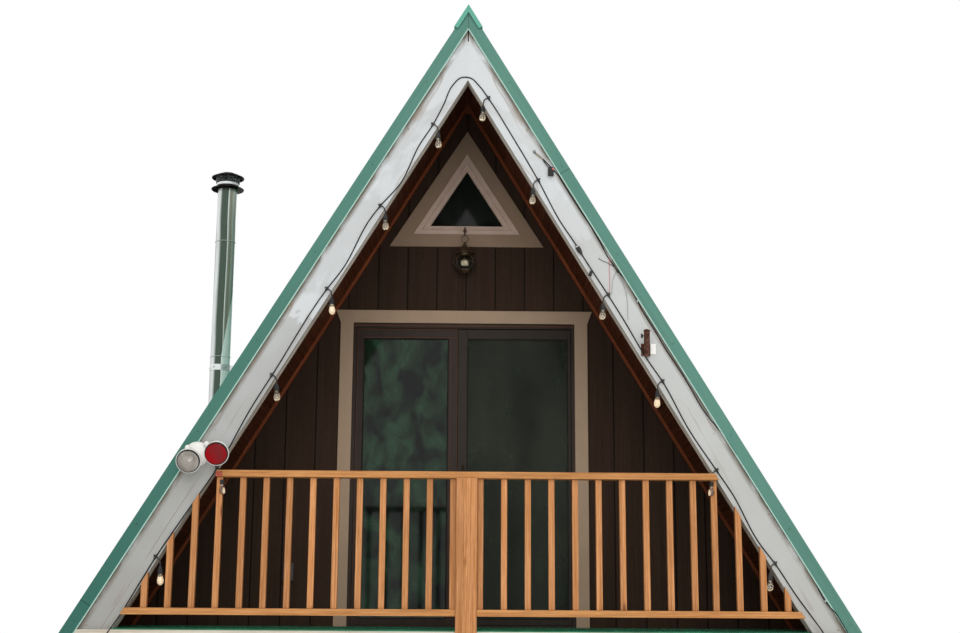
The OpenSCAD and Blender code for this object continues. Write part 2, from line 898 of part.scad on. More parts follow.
module flag_holder() {
    tube_d = 35;
    tube_l = norm(socket_mouth - socket_foot);
    color("#5a3b30") in_place() {
        difference() {
            union() {
                along(socket_foot, socket_mouth) {
                    cylinder(d = tube_d, h = tube_l, $fn = 40);
                    translate([0, 0, tube_l - 5]) cylinder(d = tube_d + 5, h = 5, $fn = 40);
                }
                translate([1058, -26, deck_h + 1598]) cube([20, 26, 52]);
            }
            along(socket_foot, socket_mouth) translate([0, 0, 10])
                cylinder(d = tube_d - 6, h = tube_l, $fn = 40);
        }
        translate([1035, -3, deck_h + 1593]) cube([55, 3, 75]);
        translate([1089, -5, deck_h + 1604]) cube([34, 5, 62]);
        translate([1048, -92, deck_h + 1697]) rotate([0, -90, 0]) {
            cylinder(d = 7, h = 22, $fn = 24);
            translate([0, 0, 12]) cylinder(d = 12, h = 10, $fn = 24);
            translate([-12, -2, 13]) cube([24, 4, 10]);
        }
    }
}

module outlet_box() {
    color("#48464a") in_place() translate([-1203, wall_y - 30, deck_h + 301]) {
        cube([70, 30, 118]);
        translate([6, -4, 8]) cube([58, 6, 102]);
    }
}

// STRING LIGHTS
// Places of the lights' junctions on the white boards, left foot to right foot
// Each is told by its x and its height above the balcony
junctions = [
    [-1758, 405], [-1431, 914], [-1134, 1460], [-827, 1981], [-521, 2496], [-211, 3013],
    [126, 3186], [430, 2665], [844, 1960], [1158, 1442], [1462, 922], [1783, 391]
];
lead_y = -lead_d / 2 - 1;
// The string's route: x and height above the balcony, wandering a little between the lights
// Its ends come forward over the rim board, so they have a place along y too
string_route = [
    [-2052, -100, -45], [-1994, -8, -38], [-1958, 52, -18], [-1838, 266], [-1758, 405], [-1608, 640],
    [-1431, 914], [-1234, 1292], [-1134, 1460], [-827, 1981], [-740, 2100], [-575, 2422],
    [-521, 2496], [-406, 2633], [-290, 2885], [-211, 3013], [-145, 3148], [-96, 3264], [-39, 3319],
    [15, 3316], [70, 3265], [126, 3186], [270, 2948], [430, 2665], [563, 2408], [650, 2271, -14],
    [692, 2200, -14], [844, 1960],
    [932, 1815], [1066, 1580], [1158, 1442], [1311, 1152], [1462, 922], [1549, 790], [1694, 511],
    [1783, 391], [1900, 210], [1987, 84, -18], [2033, 10, -40], [2082, -100, -45]
];
// The feed lead: from its clamp past the plug and down beside the edge trim's lip, behind it in places
// Near its foot it comes out over the lip and goes back in through the rim board
feed_d = 6;
feed_route = [
    [406, 2841, -8], [434, 2821, -8], [462, 2796, -8], [494, 2763, -6], [529, 2725], [549, 2701],
    [589, 2635], [628, 2569], [683, 2480], [738, 2394], [795, 2292], [851, 2184], [878, 2144],
    [900, 2111], [945, 2060, -3.4], [992, 1980, -3.4], [1019, 1924], [1046, 1868], [1080, 1810],
    [1111, 1760], [1156, 1678], [1190, 1620], [1234, 1552], [1305, 1436], [1341, 1369], [1383, 1293],
    [1438, 1215], [1492, 1150, -3.4], [1642, 900, -3.4], [1822, 600, -3.4], [2003, 300, -3.4],
    [2061, 184, -8], [2084, 150, -19], [2114, 118, -20], [2140, 76, -21], [2156, 44, -31],
    [2170, 14, -42], [2183, -24, -43], [2186, -62, -43], [2180, -92, -40]
];

function at_height(p) = [p[0], len(p) > 2 ? p[2] : lead_y, deck_h + p[1]];
// Direction of a route at point i
function unit(v) = v / norm(v);
function heading(r, i) = unit(at_height(r[min(i + 1, len(r) - 1)]) - at_height(r[max(i - 1, 0)]));
// Ring of points round the route, square to its direction
function ring_at(r, i, d, n) =
    let (along = heading(r, i), side = unit(cross(along, [0, 1, 0])), out = cross(side, along)) [
        for (k = [0 : n - 1])
            let (a = 360 * k / n) at_height(r[i]) + d / 2 * (side * cos(a) + out * sin(a))
    ];

// Tube swept along a route, closed at both ends
module lead(r, d, n = 8) {
    rings = len(r);
    points = [for (i = [0 : rings - 1]) each ring_at(r, i, d, n)];
    sides = [
        for (i = [0 : rings - 2], k = [0 : n - 1])
            [i * n + k, i * n + (k + 1) % n, (i + 1) * n + (k + 1) % n, (i + 1) * n + k]
    ];
    ends = [[for (k = [n - 1 : -1 : 0]) k], [for (k = [0 : n - 1]) (rings - 1) * n + k]];
    polyhedron(points, concat(sides, ends));
}

module light_lead() {
    color("#1d1d1f") in_place() {
        lead(string_route, lead_d);
        lead(feed_route, feed_d);
    }
}

// A light's short drop lead bends in towards the middle and down: x, height and y from its junction
light_y = -19;
drop_x = 32;
drop_h = 56;
function drop_route(s) = [
    [0, 0, lead_y], [s * 13, -4, -12], [s * 25, -16, -17], [s * 31, -34, light_y],
    [s * drop_x, -drop_h, light_y]
];
function inward(p) = p[0] < 0 ? 1 : -1;

// Frame of one hanging light: z runs up, and it leans a little in towards the middle
light_lean = 3;
socket_l = 40;
module at_lights() {
    for (p = junctions)
        translate([p[0] + inward(p) * drop_x, light_y, deck_h + p[1] - drop_h])
            rotate([0, -inward(p) * light_lean, 0]) children();
}

// Moulded joint on the lead, drawn along the white board's slope, with the drop lead below it
joint_l = 34;
joint_y = -8.5;
module joint(p) {
    translate([p[0], joint_y, deck_h + p[1]]) rotate([0, inward(p) * (90 - roof_pitch), 0]) {
        cylinder(d1 = 15, d2 = 9, h = joint_l / 2, $fn = 24);
        mirror([0, 0, 1]) cylinder(d1 = 15, d2 = 9, h = joint_l / 2, $fn = 24);
    }
    translate([p[0], 0, p[1]]) lead(drop_route(inward(p)), lead_d);
}

module light_sockets() {
    color("#222224") in_place() {
        for (p = junctions) joint(p);
        at_lights() {
            translate([0, 0, -12]) cylinder(d1 = 22, d2 = 18, h = 14, $fn = 32);
            translate([0, 0, -socket_l]) cylinder(d = 28, h = socket_l - 12, $fn = 32);
        }
        for (p = [string_route[0], string_route[len(string_route) - 1]])
            translate(at_height(p)) rotate([0, p[0] < 0 ? -152 : 152, 0])
                cylinder(d1 = 15, d2 = 12, h = 34, $fn = 24);
        translate(plug_at) plug_box();
        for (p = [[406, 2845], [903, 2104]]) eyelet(p);
        string_joint();
    }
}

// Screw eye in a white board
module eyelet(p) {
    out_y = -9.5;
    eye_r = 7;
    translate([p[0], out_y, deck_h + p[1]]) rotate([90, 0, 0]) hoop(eye_r, 3.5);
    bar([p[0], 0, deck_h + p[1] + eye_r], [p[0], out_y, deck_h + p[1] + eye_r], 4);
}

// Plug and socket that join the string's two halves, a spare capped socket, and the feed's grommet
module string_joint() {
    along([653, -14, deck_h + 2266], [690, -14, deck_h + 2203]) {
        cylinder(d1 = 9, d2 = 15, h = 13, $fn = 24);
        translate([0, 0, 12]) cylinder(d = 21, h = 9, $fn = 24);
        translate([0, 0, 20]) cylinder(d = 27, h = 26, $fn = 24);
        translate([0, 0, 45]) cylinder(d1 = 27, d2 = 10, h = 28, $fn = 24);
    }
    along([745, -12, deck_h + 2103], [734, -12, deck_h + 2073]) cylinder(d1 = 16, d2 = 21, h = 30, $fn = 24);
    bar([745, -12, deck_h + 2101], [756, -10, deck_h + 2100], 8);
    translate([2180, -rim_t, deck_h - 94]) rotate([90, 0, 0]) cylinder(d = 18, h = 3, $fn = 24);
}

// Weatherproof plug with the slots of its two outlets, hung by its own short lead from the feed's clamp
plug_at = [488, -34, deck_h + 2691];
plug_size = [34, 26, 46];
module plug_box() {
    difference() {
        cube(plug_size);
        for (x = [6, 20]) translate([x, -eps, -eps]) cube([8, 5, 30]);
    }
    translate([5, 4, plug_size[2] - 2]) cube([24, 18, 10]);
    translate(-plug_at) {
        along([417, -8, deck_h + 2834], [458, -8, deck_h + 2800]) cylinder(d1 = 11, d2 = 9, h = 53, $fn = 24);
        lead([[455, 2802, -8], [464, 2786, -13], [473, 2768, -18], [484, 2752, -20], [497, 2738, -21]], 6);
    }
}

module light_bulbs() {
    color("#d8d2c2", 0.5) in_place() at_lights() translate([0, 0, -socket_l])
        rotate_extrude($fn = 32) polygon([
            [0, 0], [12, 0], [12.5, -8], [15, -18], [18.5, -32], [18.5, -42], [16, -52], [9, -60], [0, -63]
        ]);
}

foundation();
ground_floor();
upper_floor();
front_wall();
back_wall();
roof_boards_left();
roof_boards_right();
rafters_left();
rafters_right();
roof_sheet_left();
roof_sheet_right();
ridge_cap();
edge_trims();
barge_boards();
soffit_trim();
deck_joists();
deck_boards();
rim_board();
turf();
top_rail();
bottom_rails();
balusters();
centre_post();
door_trim();
door_frame();
door_panel();
door_screen();
door_glass();
curtain();
window_trim();
window_frame();
window_glass();
lantern_frame();
lantern_globe();
flue_pipe();
flue_cap();
flue_brace();
flue_flashing();
flood_holder();
flood_lamps();
flag_holder();
outlet_box();
light_lead();
light_sockets();
light_bulbs();
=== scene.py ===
"""Looks of a small A-frame cabin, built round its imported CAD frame.

Metres throughout, +Z up, with the balcony end towards -Y and the origin at ground level under the middle.
Each sub-assembly is a class that builds its meshes and dresses them; each finish is a frozen dataclass.
"""

import logging
import math
import random
from collections.abc import Callable, Iterable, Sequence
from dataclasses import dataclass
from enum import Enum
from functools import partial

import bmesh
import bpy
from mathutils import Matrix, Vector


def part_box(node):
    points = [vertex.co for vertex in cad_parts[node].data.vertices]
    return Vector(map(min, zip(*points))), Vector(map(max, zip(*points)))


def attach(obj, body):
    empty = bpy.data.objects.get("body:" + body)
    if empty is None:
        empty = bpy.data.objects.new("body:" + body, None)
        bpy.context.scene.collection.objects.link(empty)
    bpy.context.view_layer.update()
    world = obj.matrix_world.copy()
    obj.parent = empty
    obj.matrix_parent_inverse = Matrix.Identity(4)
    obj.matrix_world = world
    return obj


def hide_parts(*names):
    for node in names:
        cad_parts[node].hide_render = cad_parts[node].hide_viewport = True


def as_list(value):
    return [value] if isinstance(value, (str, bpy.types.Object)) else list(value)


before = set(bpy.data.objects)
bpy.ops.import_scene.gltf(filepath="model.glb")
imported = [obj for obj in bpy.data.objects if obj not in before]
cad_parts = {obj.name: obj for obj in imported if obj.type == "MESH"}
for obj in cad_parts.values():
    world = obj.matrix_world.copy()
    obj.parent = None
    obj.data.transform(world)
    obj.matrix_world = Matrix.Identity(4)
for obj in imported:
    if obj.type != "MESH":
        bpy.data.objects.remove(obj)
LOG = logging.getLogger("cabin")
Node = bpy.types.Node
Output = bpy.types.NodeSocket | Node
Adder = Callable[..., Node]
MM = 0.001
PAST = 10 * MM  # how far a cutter reaches past the piece that it cuts


# Colour and nodes
def linear(hex_colour: str) -> tuple[float, float, float, float]:
    """Turn an sRGB hex colour into the linear colour that a shader takes.

    Args:
        hex_colour: Colour such as "#3f7d6b".

    Returns:
        Red, green, blue and an alpha of 1.
    """
    values = [int(hex_colour[i : i + 2], 16) / 255 for i in (1, 3, 5)]
    red, green, blue = (v / 12.92 if v <= 0.04045 else ((v + 0.055) / 1.055) ** 2.4 for v in values)
    return red, green, blue, 1.0


def mm(*values: float | tuple) -> tuple:
    """Numbers told in millimetres, or points of them, turned into metres."""
    return tuple(mm(*v) if isinstance(v, tuple) else v * MM for v in values)


def add_node(
    tree: bpy.types.NodeTree, kind: str, *values: object, named: dict | None = None, **settings: object
) -> Node:
    """Add a shader node, set its properties, and fill or link its inputs.

    Args:
        tree: Node tree of the material or world.
        kind: Blender's name of the node type, less its first word.
        values: Values of the first inputs in order, or outputs to link them from; a node gives its first.
        named: The same for inputs told by name.
        settings: Property values by property name.

    Returns:
        The new node.
    """
    node = tree.nodes.new("ShaderNode" + kind)
    for name, value in settings.items():
        setattr(node, name, value)
    for key, value in [*enumerate(values), *(named or {}).items()]:
        source = value.outputs[0] if isinstance(value, Node) else value
        if isinstance(source, bpy.types.NodeSocket):
            tree.links.new(source, node.inputs[key])
        else:
            node.inputs[key].default_value = source
    return node


class Grain(Enum):
    """Direction in which a piece's grain, rolling or brushing runs."""

    ALONG_X = "x"
    ALONG_Y = "y"
    ALONG_Z = "z"
    DOWN_SLOPE = "slope"


@dataclass(frozen=True)
class CabinLines:
    """The few lines that every part of the cabin is set out from.

    Depths named _n are square to the roof plane, negative towards the inside.
    """

    pitch: float = math.radians(59)
    ridge_z: float = 6.48
    deck_z: float = 2.70
    floor_z: float = 0.30
    sheet_n: float = -21 * MM
    soffit_n: float = -64 * MM
    inner_n: float = -245 * MM
    trim_face: float = 78 * MM
    end_rafter: float = 95 * MM  # white board and doubled rafter
    face_y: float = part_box("barge_boards")[0].y
    end_y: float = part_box("barge_boards")[1].y
    wall_y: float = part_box("front_wall")[0].y
    back_y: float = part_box("back_wall")[1].y

    def half_width(self, n: float, z: float) -> float:
        """Half the width between the roof planes offset by n, at height z."""
        return (self.ridge_z + n / math.cos(self.pitch) - z) / math.tan(self.pitch)

    def slope_turn(self, side: int) -> Matrix:
        """Turn whose x runs down the slope and whose z runs out of the roof.

        Args:
            side: 1 for the right slope, -1 for the left.

        Returns:
            The turn.
        """
        down = Vector((side * math.cos(self.pitch), 0, -math.sin(self.pitch)))
        out = Vector((side * math.sin(self.pitch), 0, math.cos(self.pitch)))
        return Matrix((down, out.cross(down), out)).transposed().to_4x4()

    def on_slope(self, side: int, down: float, y: float, n: float) -> Vector:
        """Point of a slope.

        Args:
            side: 1 for the right slope, -1 for the left.
            down: Distance down the slope from the ridge line.
            y: Place from front to back.
            n: Distance out of the roof plane.

        Returns:
            The point.
        """
        along = Vector((side * math.cos(self.pitch), 0, -math.sin(self.pitch)))
        out = Vector((side * math.sin(self.pitch), 0, math.cos(self.pitch)))
        return Vector((0, y, self.ridge_z)) + along * down + out * n

    def down_to(self, z: float, n: float) -> float:
        """Distance down the slope at which the plane offset by n reaches height z."""
        return (self.ridge_z + n * math.cos(self.pitch) - z) / math.sin(self.pitch)


LINES = CabinLines()


# Patterns shared by finishes
def grain_space(add: Adder, grain: Grain) -> Output:
    """Object coordinates turned so that x runs along the grain, y and z across it.

    Args:
        add: Adds a node to the material.
        grain: Direction of the grain.

    Returns:
        A vector socket in metres; down the slope, both roof halves share one space.
    """
    place = add("TexCoord").outputs["Object"]
    split = add("SeparateXYZ", place)
    x, y, z = split.outputs
    if grain is Grain.DOWN_SLOPE:
        x = add("Math", x, operation="ABSOLUTE")
    order = {
        Grain.ALONG_X: (x, y, z),
        Grain.ALONG_Y: (y, x, z),
        Grain.ALONG_Z: (z, x, y),
        Grain.DOWN_SLOPE: (x, y, z),
    }[grain]
    joined = add("CombineXYZ", named=dict(enumerate(order)))
    if grain is not Grain.DOWN_SLOPE:
        return joined
    turned = add(
        "VectorRotate", named={"Vector": joined, "Center": (0, 0, LINES.ridge_z), "Angle": -LINES.pitch},
        rotation_type="Y_AXIS"
    )
    return turned.outputs[0]


def mottle(
    add: Adder,
    place: Output,
    size_mm: Sequence[float],
    low: float = 0.4,
    high: float = 0.6,
    detail: float = 4.0,
    twist: float = 0.0,
) -> Output:
    """Soft patches of a real size, as a factor from 0 to 1.

    Args:
        add: Adds a node to the material.
        place: Vector in metres.
        size_mm: Patch size along x, y and z of that vector, in millimetres.
        low: Noise value that gives 0.
        high: Noise value that gives 1.
        detail: Octaves of finer noise.
        twist: Distortion of the patches.

    Returns:
        The factor's socket.
    """
    scaled = add("VectorMath", place, tuple(1 / (s * MM) for s in size_mm), operation="MULTIPLY")
    noise = add("TexNoise", named={"Vector": scaled, "Scale": 1.0, "Detail": detail, "Distortion": twist})
    return add("MapRange", noise, low, high, 0.0, 1.0)


def board_tone(add: Adder, across: Output, board_mm: float) -> Output:
    """A random tone from 0 to 1 for each board of a row.

    Args:
        add: Adds a node to the material.
        across: Coordinate across the boards, in metres.
        board_mm: Width of a board.

    Returns:
        The tone's socket.
    """
    place = add("Math", across, board_mm * MM, operation="DIVIDE")
    number = add("Math", place, operation="FLOOR")
    return add("TexWhiteNoise", named={"W": number}, noise_dimensions="1D")


def coat(add: Adder, pattern: Output, strength: float, deep_mm: float, inputs: dict) -> Node:
    """A surface shader roughened by a pattern.

    Args:
        add: Adds a node to the material.
        pattern: Height of the surface, from 0 to 1.
        strength: Share of the pattern that shows.
        deep_mm: Depth of the pattern.
        inputs: The shader's other inputs.

    Returns:
        The shader.
    """
    bump = add("Bump", named={"Height": pattern, "Strength": strength, "Distance": deep_mm * MM})
    return add("BsdfPrincipled", named={**inputs, "Normal": bump})


# Finishes
@dataclass(frozen=True)
class Finish:
    """A named procedural material."""

    name: str

    def surface(self, add: Adder) -> Node:
        """Build the nodes, and return the surface shader."""
        raise NotImplementedError

    def material(self) -> bpy.types.Material:
        """Make the Blender material, or find it when it is made already.

        Returns:
            The material.
        """
        known = bpy.data.materials.get(self.name)
        if known:
            return known
        made = bpy.data.materials.new(self.name)
        made.use_nodes = True
        made.node_tree.nodes.clear()
        add = partial(add_node, made.node_tree)
        add("OutputMaterial", self.surface(add))
        return made


@dataclass(frozen=True)
class PlanedTimber(Finish):
    """Sawn or planed softwood under oil, stain or thin paint.

    It gives the eye long streaks along each board, a change of tone between boards, and a few dark knots.
    """

    pale: str = "#cb9357"
    dark: str = "#9a6233"
    grain: Grain = Grain.ALONG_X
    streak_mm: float = 9.0  # growth rings are 2 to 4 mm apart; drawn coarser so that they show from 10 m
    board_mm: float = 140.0
    tone_step: float = 0.22
    roughness: float = 0.6
    knots: float = 0.0
    grey: float = 0.0
    grey_colour: str = "#a9a193"
    gloss: float = 0.15
    groove_mm: float = 0.0  # pitch of the grooves, which are painted dark with dirt and painted shade

    def surface(self, add: Adder) -> Node:
        """Build the nodes.

        Args:
            add: Adds a node to the material.

        Returns:
            The surface shader.
        """
        place = grain_space(add, self.grain)
        split = add("SeparateXYZ", place)
        rings = mottle(
            add, place, (self.streak_mm * 45, self.streak_mm, self.streak_mm), 0.32, 0.68, detail=5, twist=0.6
        )
        fleck = mottle(add, place, (60, 1.8, 1.8), 0.35, 0.7, detail=2)
        patch = mottle(add, place, (900, 120, 120), 0.3, 0.7, detail=3)
        across = split.outputs[0 if self.grain is Grain.DOWN_SLOPE else 1]
        tone = board_tone(add, across, self.board_mm)
        colour = add("MixRGB", rings, linear(self.pale), linear(self.dark))
        colour = add("MixRGB", 0.28, colour, fleck, blend_type="MULTIPLY")
        level = add("MapRange", tone, 0.0, 1.0, 1.0 - self.tone_step, 1.0 + self.tone_step)
        level = add("Math", patch, 0.16, level, operation="MULTIPLY_ADD")
        colour = add("HueSaturation", named={"Value": level, "Color": colour, "Saturation": 1.0})
        height = rings
        if self.knots:
            knot_place = add("VectorMath", place, (3.6, 13.0, 13.0), operation="MULTIPLY")
            cell = add("TexVoronoi", named={"Vector": knot_place, "Scale": 1.0})
            ring = add("MapRange", cell.outputs["Distance"], 0.05, 0.2, 1.0, 0.0)
            chance = add("SeparateXYZ", cell.outputs["Color"])
            picked = add("Math", chance, self.knots, operation="LESS_THAN")
            mask = add("Math", ring, picked, operation="MULTIPLY")
            colour = add("MixRGB", mask, colour, linear("#4a2412"))
        if self.groove_mm:
            # painted shade and dirt darken the grooves
            away = add("Math", split.outputs[1], self.groove_mm * MM / 2, operation="PINGPONG")
            inside = add("MapRange", away, 5.2 * MM, 4.8 * MM, 0.0, 0.72)
            colour = add("MixRGB", inside, colour, linear("#080605"))
        if self.grey:
            worn = mottle(
                add, place, (500, 30, 60), 0.55 - 0.4 * self.grey, 0.85 - 0.4 * self.grey, detail=6
            )
            colour = add("MixRGB", worn, colour, linear(self.grey_colour))
        rough = add("MapRange", rings, 0.0, 1.0, self.roughness - 0.08, self.roughness + 0.1)
        return coat(
            add, height, 0.35, 0.6,
            {"Base Color": colour, "Roughness": rough, "Specular IOR Level": self.gloss}
        )


@dataclass(frozen=True)
class PeelingPaint(Finish):
    """White exterior paint brushed on fascia boards, renewed near the ridge and weathered below.

    It gives the eye a cool white down to a ragged edge, an older greyer coat below it, darker streaks beside
    the metal lip, a split along the left board, hairline cracks and a few flakes that bare the wood.
    """

    paint: str = "#bcc0c3"
    old_left: str = "#8f8f8c"
    old_right: str = "#a4a5a2"
    lip_streak_colour: str = "#68635a"
    bare: str = "#7d6d5d"
    renewed_to: tuple[float, float] = (4.39, 4.90)  # heights of the renewed coat's lower edge, left and right

    def surface(self, add: Adder) -> Node:
        """Build the nodes.

        Args:
            add: Adds a node to the material.

        Returns:
            The surface shader.
        """
        place = grain_space(add, Grain.DOWN_SLOPE)
        split = add("SeparateXYZ", place)
        raw = add("TexCoord").outputs["Object"]
        world = add("SeparateXYZ", raw)
        right = add("Math", world.outputs[0], 0.0, operation="GREATER_THAN")
        # the renewed coat ends in a ragged edge
        edge_z = add("MapRange", right, 0.0, 1.0, self.renewed_to[0], self.renewed_to[1])
        ragged = mottle(add, place, (120, 30, 60), 0.2, 0.8, detail=6, twist=0.4)
        edge_z = add("Math", ragged, 0.22, edge_z, operation="MULTIPLY_ADD")
        above = add("Math", world.outputs[2], edge_z, operation="SUBTRACT")
        old = add("MapRange", above, 0.0, -0.012, 0.0, 0.45)
        low = add("MapRange", world.outputs[2], 4.6, 2.8, 0.0, 0.5)
        cloud = mottle(add, place, (700, 160, 300), 0.3, 0.7, detail=5)
        aging = add("Math", old, low, operation="ADD")
        aging = add("Math", cloud, 0.22, aging, operation="MULTIPLY_ADD", use_clamp=True)
        aged = add("MixRGB", right, linear(self.old_left), linear(self.old_right))
        colour = add("MixRGB", aging, linear(self.paint), aged)
        # thin places show the older coat
        thin = mottle(add, place, (340, 70, 200), 0.5, 0.58, detail=7, twist=0.5)
        thin = add("Math", thin, 0.3, operation="MULTIPLY")
        colour = add("MixRGB", thin, colour, aged)
        # darker streaks run beside the metal lip
        depth = add("Math", split.outputs[2], LINES.ridge_z, operation="SUBTRACT")
        edge = add("MapRange", depth, -0.112, -0.084, 0.0, 1.0)
        streak = mottle(add, place, (160, 12, 60), 0.3, 0.52, detail=7)
        lip_streaks = add("Math", edge, streak, operation="MULTIPLY")
        colour = add("MixRGB", lip_streaks, colour, linear(self.lip_streak_colour))
        # flakes and hairline cracks follow the grain
        flake = mottle(add, place, (90, 11, 40), 0.71, 0.74, detail=7, twist=0.4)
        thread = mottle(add, place, (1300, 34, 200), 0.0, 1.0, detail=3)
        ridge = add("Math", thread, 0.47, operation="SUBTRACT")
        ridge = add("Math", ridge, operation="ABSOLUTE")
        crack = add("MapRange", ridge, 0.004, 0.011, 0.6, 0.0)
        worn = mottle(add, place, (800, 90, 300), 0.46, 0.6, detail=2)
        crack = add("Math", crack, worn, operation="MULTIPLY")
        # one long split wanders along the left board
        wander = mottle(add, place, (500, 500, 500), 0.0, 1.0, detail=2)
        line = add("Math", wander, 0.016, depth, operation="MULTIPLY_ADD")
        line = add("Math", line, 0.181, operation="ADD")
        line = add("Math", line, operation="ABSOLUTE")
        line = add("MapRange", line, 0.0008, 0.0026, 0.85, 0.0)
        here = mottle(add, place, (420, 900, 900), 0.38, 0.46, detail=1)
        below = add("MapRange", world.outputs[2], 3.56, 3.5, 0.0, 1.0)
        below = add("Math", below, right, operation="SUBTRACT", use_clamp=True)
        here = add("Math", here, below, operation="MULTIPLY")
        line = add("Math", line, here, operation="MULTIPLY")
        damage = add("Math", crack, flake, operation="MAXIMUM")
        damage = add("Math", damage, line, operation="MAXIMUM")
        colour = add("MixRGB", damage, colour, linear(self.bare))
        sunk = add("Math", damage, -1.0, operation="MULTIPLY")
        look = {"Base Color": colour, "Roughness": 0.62, "Specular IOR Level": 0.3}
        return coat(add, sunk, 0.6, 1.0, look)


@dataclass(frozen=True)
class CoilCoatedSteel(Finish):
    """Steel sheet roll-coated in green before it was folded.

    It gives the eye a satin green with chalky clouds, darker towards the left as painted shade and paler
    towards the right as painted light and reflected sky, with a pale painted highlight on the folded lip.
    """

    # colours of the left side in painted shade and of the right side in painted light
    shade: str = "#2f705e"
    painted_light_colour: str = "#5b9988"
    # colour of the pale painted highlight on the folded lip
    lip: str = "#a3c9be"
    lip_n: float = 0.0

    def surface(self, add: Adder) -> Node:
        """Build the nodes.

        Args:
            add: Adds a node to the material.

        Returns:
            The surface shader.
        """
        raw = add("TexCoord").outputs["Object"]
        split = add("SeparateXYZ", raw)
        # painted shade on the left, rising to painted light and reflected sky on the right
        painted_light_ramp = add("MapRange", split.outputs[0], -2.8, 0.2, 0.0, 0.8)
        cloud = mottle(add, raw, (1500, 900, 700), 0.3, 0.7, detail=4)
        chalk_and_painted_light = add("Math", cloud, 0.2, painted_light_ramp, operation="MULTIPLY_ADD", use_clamp=True)
        colour = add("MixRGB", chalk_and_painted_light, linear(self.shade), linear(self.painted_light_colour))
        place = grain_space(add, Grain.DOWN_SLOPE)
        run = mottle(add, place, (900, 22, 22), 0.5, 0.75, detail=5)
        run = add("Math", run, 0.25, operation="MULTIPLY")
        colour = add("MixRGB", run, colour, linear("#3b5c50"))
        # pale painted highlight where the folded lip catches the sky
        if self.lip_n:
            across = add("SeparateXYZ", place).outputs[2]
            depth = add("Math", across, LINES.ridge_z, operation="SUBTRACT")
            bare = add("MapRange", depth, self.lip_n, self.lip_n - 1.5 * MM, 0.0, 0.9)
            colour = add("MixRGB", bare, colour, linear(self.lip))
        orange_peel = mottle(add, raw, (6, 6, 6), 0.3, 0.7, detail=2)
        rough = add("MapRange", cloud, 0.0, 1.0, 0.38, 0.5)
        look = {"Base Color": colour, "Roughness": rough, "Specular IOR Level": 0.25}
        return coat(add, orange_peel, 0.12, 0.3, look)


@dataclass(frozen=True)
class DullMetal(Finish):
    """Bare, plated or cast metal with stains.

    Rolled stainless steel gives the eye clear soft reflections; galvanised steel a grey bloom; cast iron
    under a bronze lacquer or rust almost none.
    """

    colour: str = "#c4c7c8"
    stain: str = "#8d8d89"
    stain_amount: float = 0.3
    stain_mm: float = 120.0
    metallic: float = 1.0
    roughness: float = 0.25
    pit_mm: float = 3.0
    pit_strength: float = 0.1

    def surface(self, add: Adder) -> Node:
        """Build the nodes.

        Args:
            add: Adds a node to the material.

        Returns:
            The surface shader.
        """
        raw = add("TexCoord").outputs["Object"]
        size = (self.stain_mm, self.stain_mm, self.stain_mm * 2.2)
        spread = 0.4 * self.stain_amount
        patch = mottle(add, raw, size, 0.62 - spread, 0.86 - spread, detail=6)
        colour = add("MixRGB", patch, linear(self.colour), linear(self.stain))
        rough = add("MapRange", patch, 0.0, 1.0, self.roughness, min(1.0, self.roughness + 0.3))
        pits = mottle(add, raw, (self.pit_mm,) * 3, 0.35, 0.7, detail=3)
        look = {"Base Color": colour, "Metallic": self.metallic, "Roughness": rough}
        return coat(add, pits, self.pit_strength, 0.5, look)


@dataclass(frozen=True)
class PaintedReflectionSteel(Finish):
    """Stainless pipe, rolled bright, with painted reflections: the trees, the roof and the sky around it are
    painted into its colour as upright bands.

    Each band is told by its place across the pipe as the camera sees it, from 0 on the left to 1, and
    by its colour.
    """

    bands: tuple[tuple[float, str], ...] = (
        (0.0, "#8a8f8c"), (0.04, "#dfe4e6"), (0.14, "#d8dfdd"), (0.25, "#435247"), (0.56, "#3f4f43"),
        (0.6, "#e6ebe8"), (0.645, "#87958a"), (0.74, "#8d8674"), (0.84, "#b5beb5"), (1.0, "#5f6a62"),
    )
    painted_roof_reflection: str = "#f4fffb"
    painted_roof_reflection_from: tuple[float, float] = (2.00, 2.48)  # heights above the deck where the painted reflection of the pale roof ends
    sideways: tuple[float, float, float] = (0.984, 0.173, 0.0)  # across the pipe as the camera sees it
    smear_mm: float = 60.0
    roughness: float = 0.3

    def surface(self, add: Adder) -> Node:
        """Build the nodes.

        Args:
            add: Adds a node to the material.

        Returns:
            The surface shader.
        """
        raw = add("TexCoord").outputs["Object"]
        normal = add("NewGeometry").outputs["Normal"]
        side = add("VectorMath", normal, self.sideways, operation="DOT_PRODUCT").outputs["Value"]
        wave = mottle(add, raw, tuple(self.smear_mm * k for k in (8, 8, 9)), 0.2, 0.8, detail=3)
        side = add("Math", wave, 0.16, side, operation="MULTIPLY_ADD")
        across = add("MapRange", side, -0.92, 1.08)
        # painted reflections: each side of the pipe is coloured as what it would mirror
        reflection_ramp = add("ValToRGB", named={"Fac": across})
        stops = reflection_ramp.color_ramp.elements
        for place, colour in self.bands:
            stop = stops[0] if place == 0.0 else stops[-1] if place == 1.0 else stops.new(place)
            stop.position, stop.color = place, linear(colour)
        # pale painted reflection of the roof, above a slanted edge
        up = add("SeparateXYZ", raw).outputs[2]
        low, high = (LINES.deck_z + z for z in self.painted_roof_reflection_from)
        edge = add("MapRange", up, low, high, 0.52, 0.97)
        edge = add("Math", across, edge, operation="SUBTRACT")
        glow = add("MapRange", edge, 0.0, 0.02)
        painted_reflections = add("MixRGB", glow, reflection_ramp, linear(self.painted_roof_reflection))
        stain = mottle(add, raw, (self.smear_mm, self.smear_mm, self.smear_mm * 5), 0.5, 0.8, detail=6)
        stain = add("Math", stain, 0.3, operation="MULTIPLY")
        colour = add("MixRGB", stain, painted_reflections, linear("#6f6a58"))
        look = {"Base Color": colour, "Metallic": 0.55, "Roughness": self.roughness}
        return add("BsdfPrincipled", named=look)


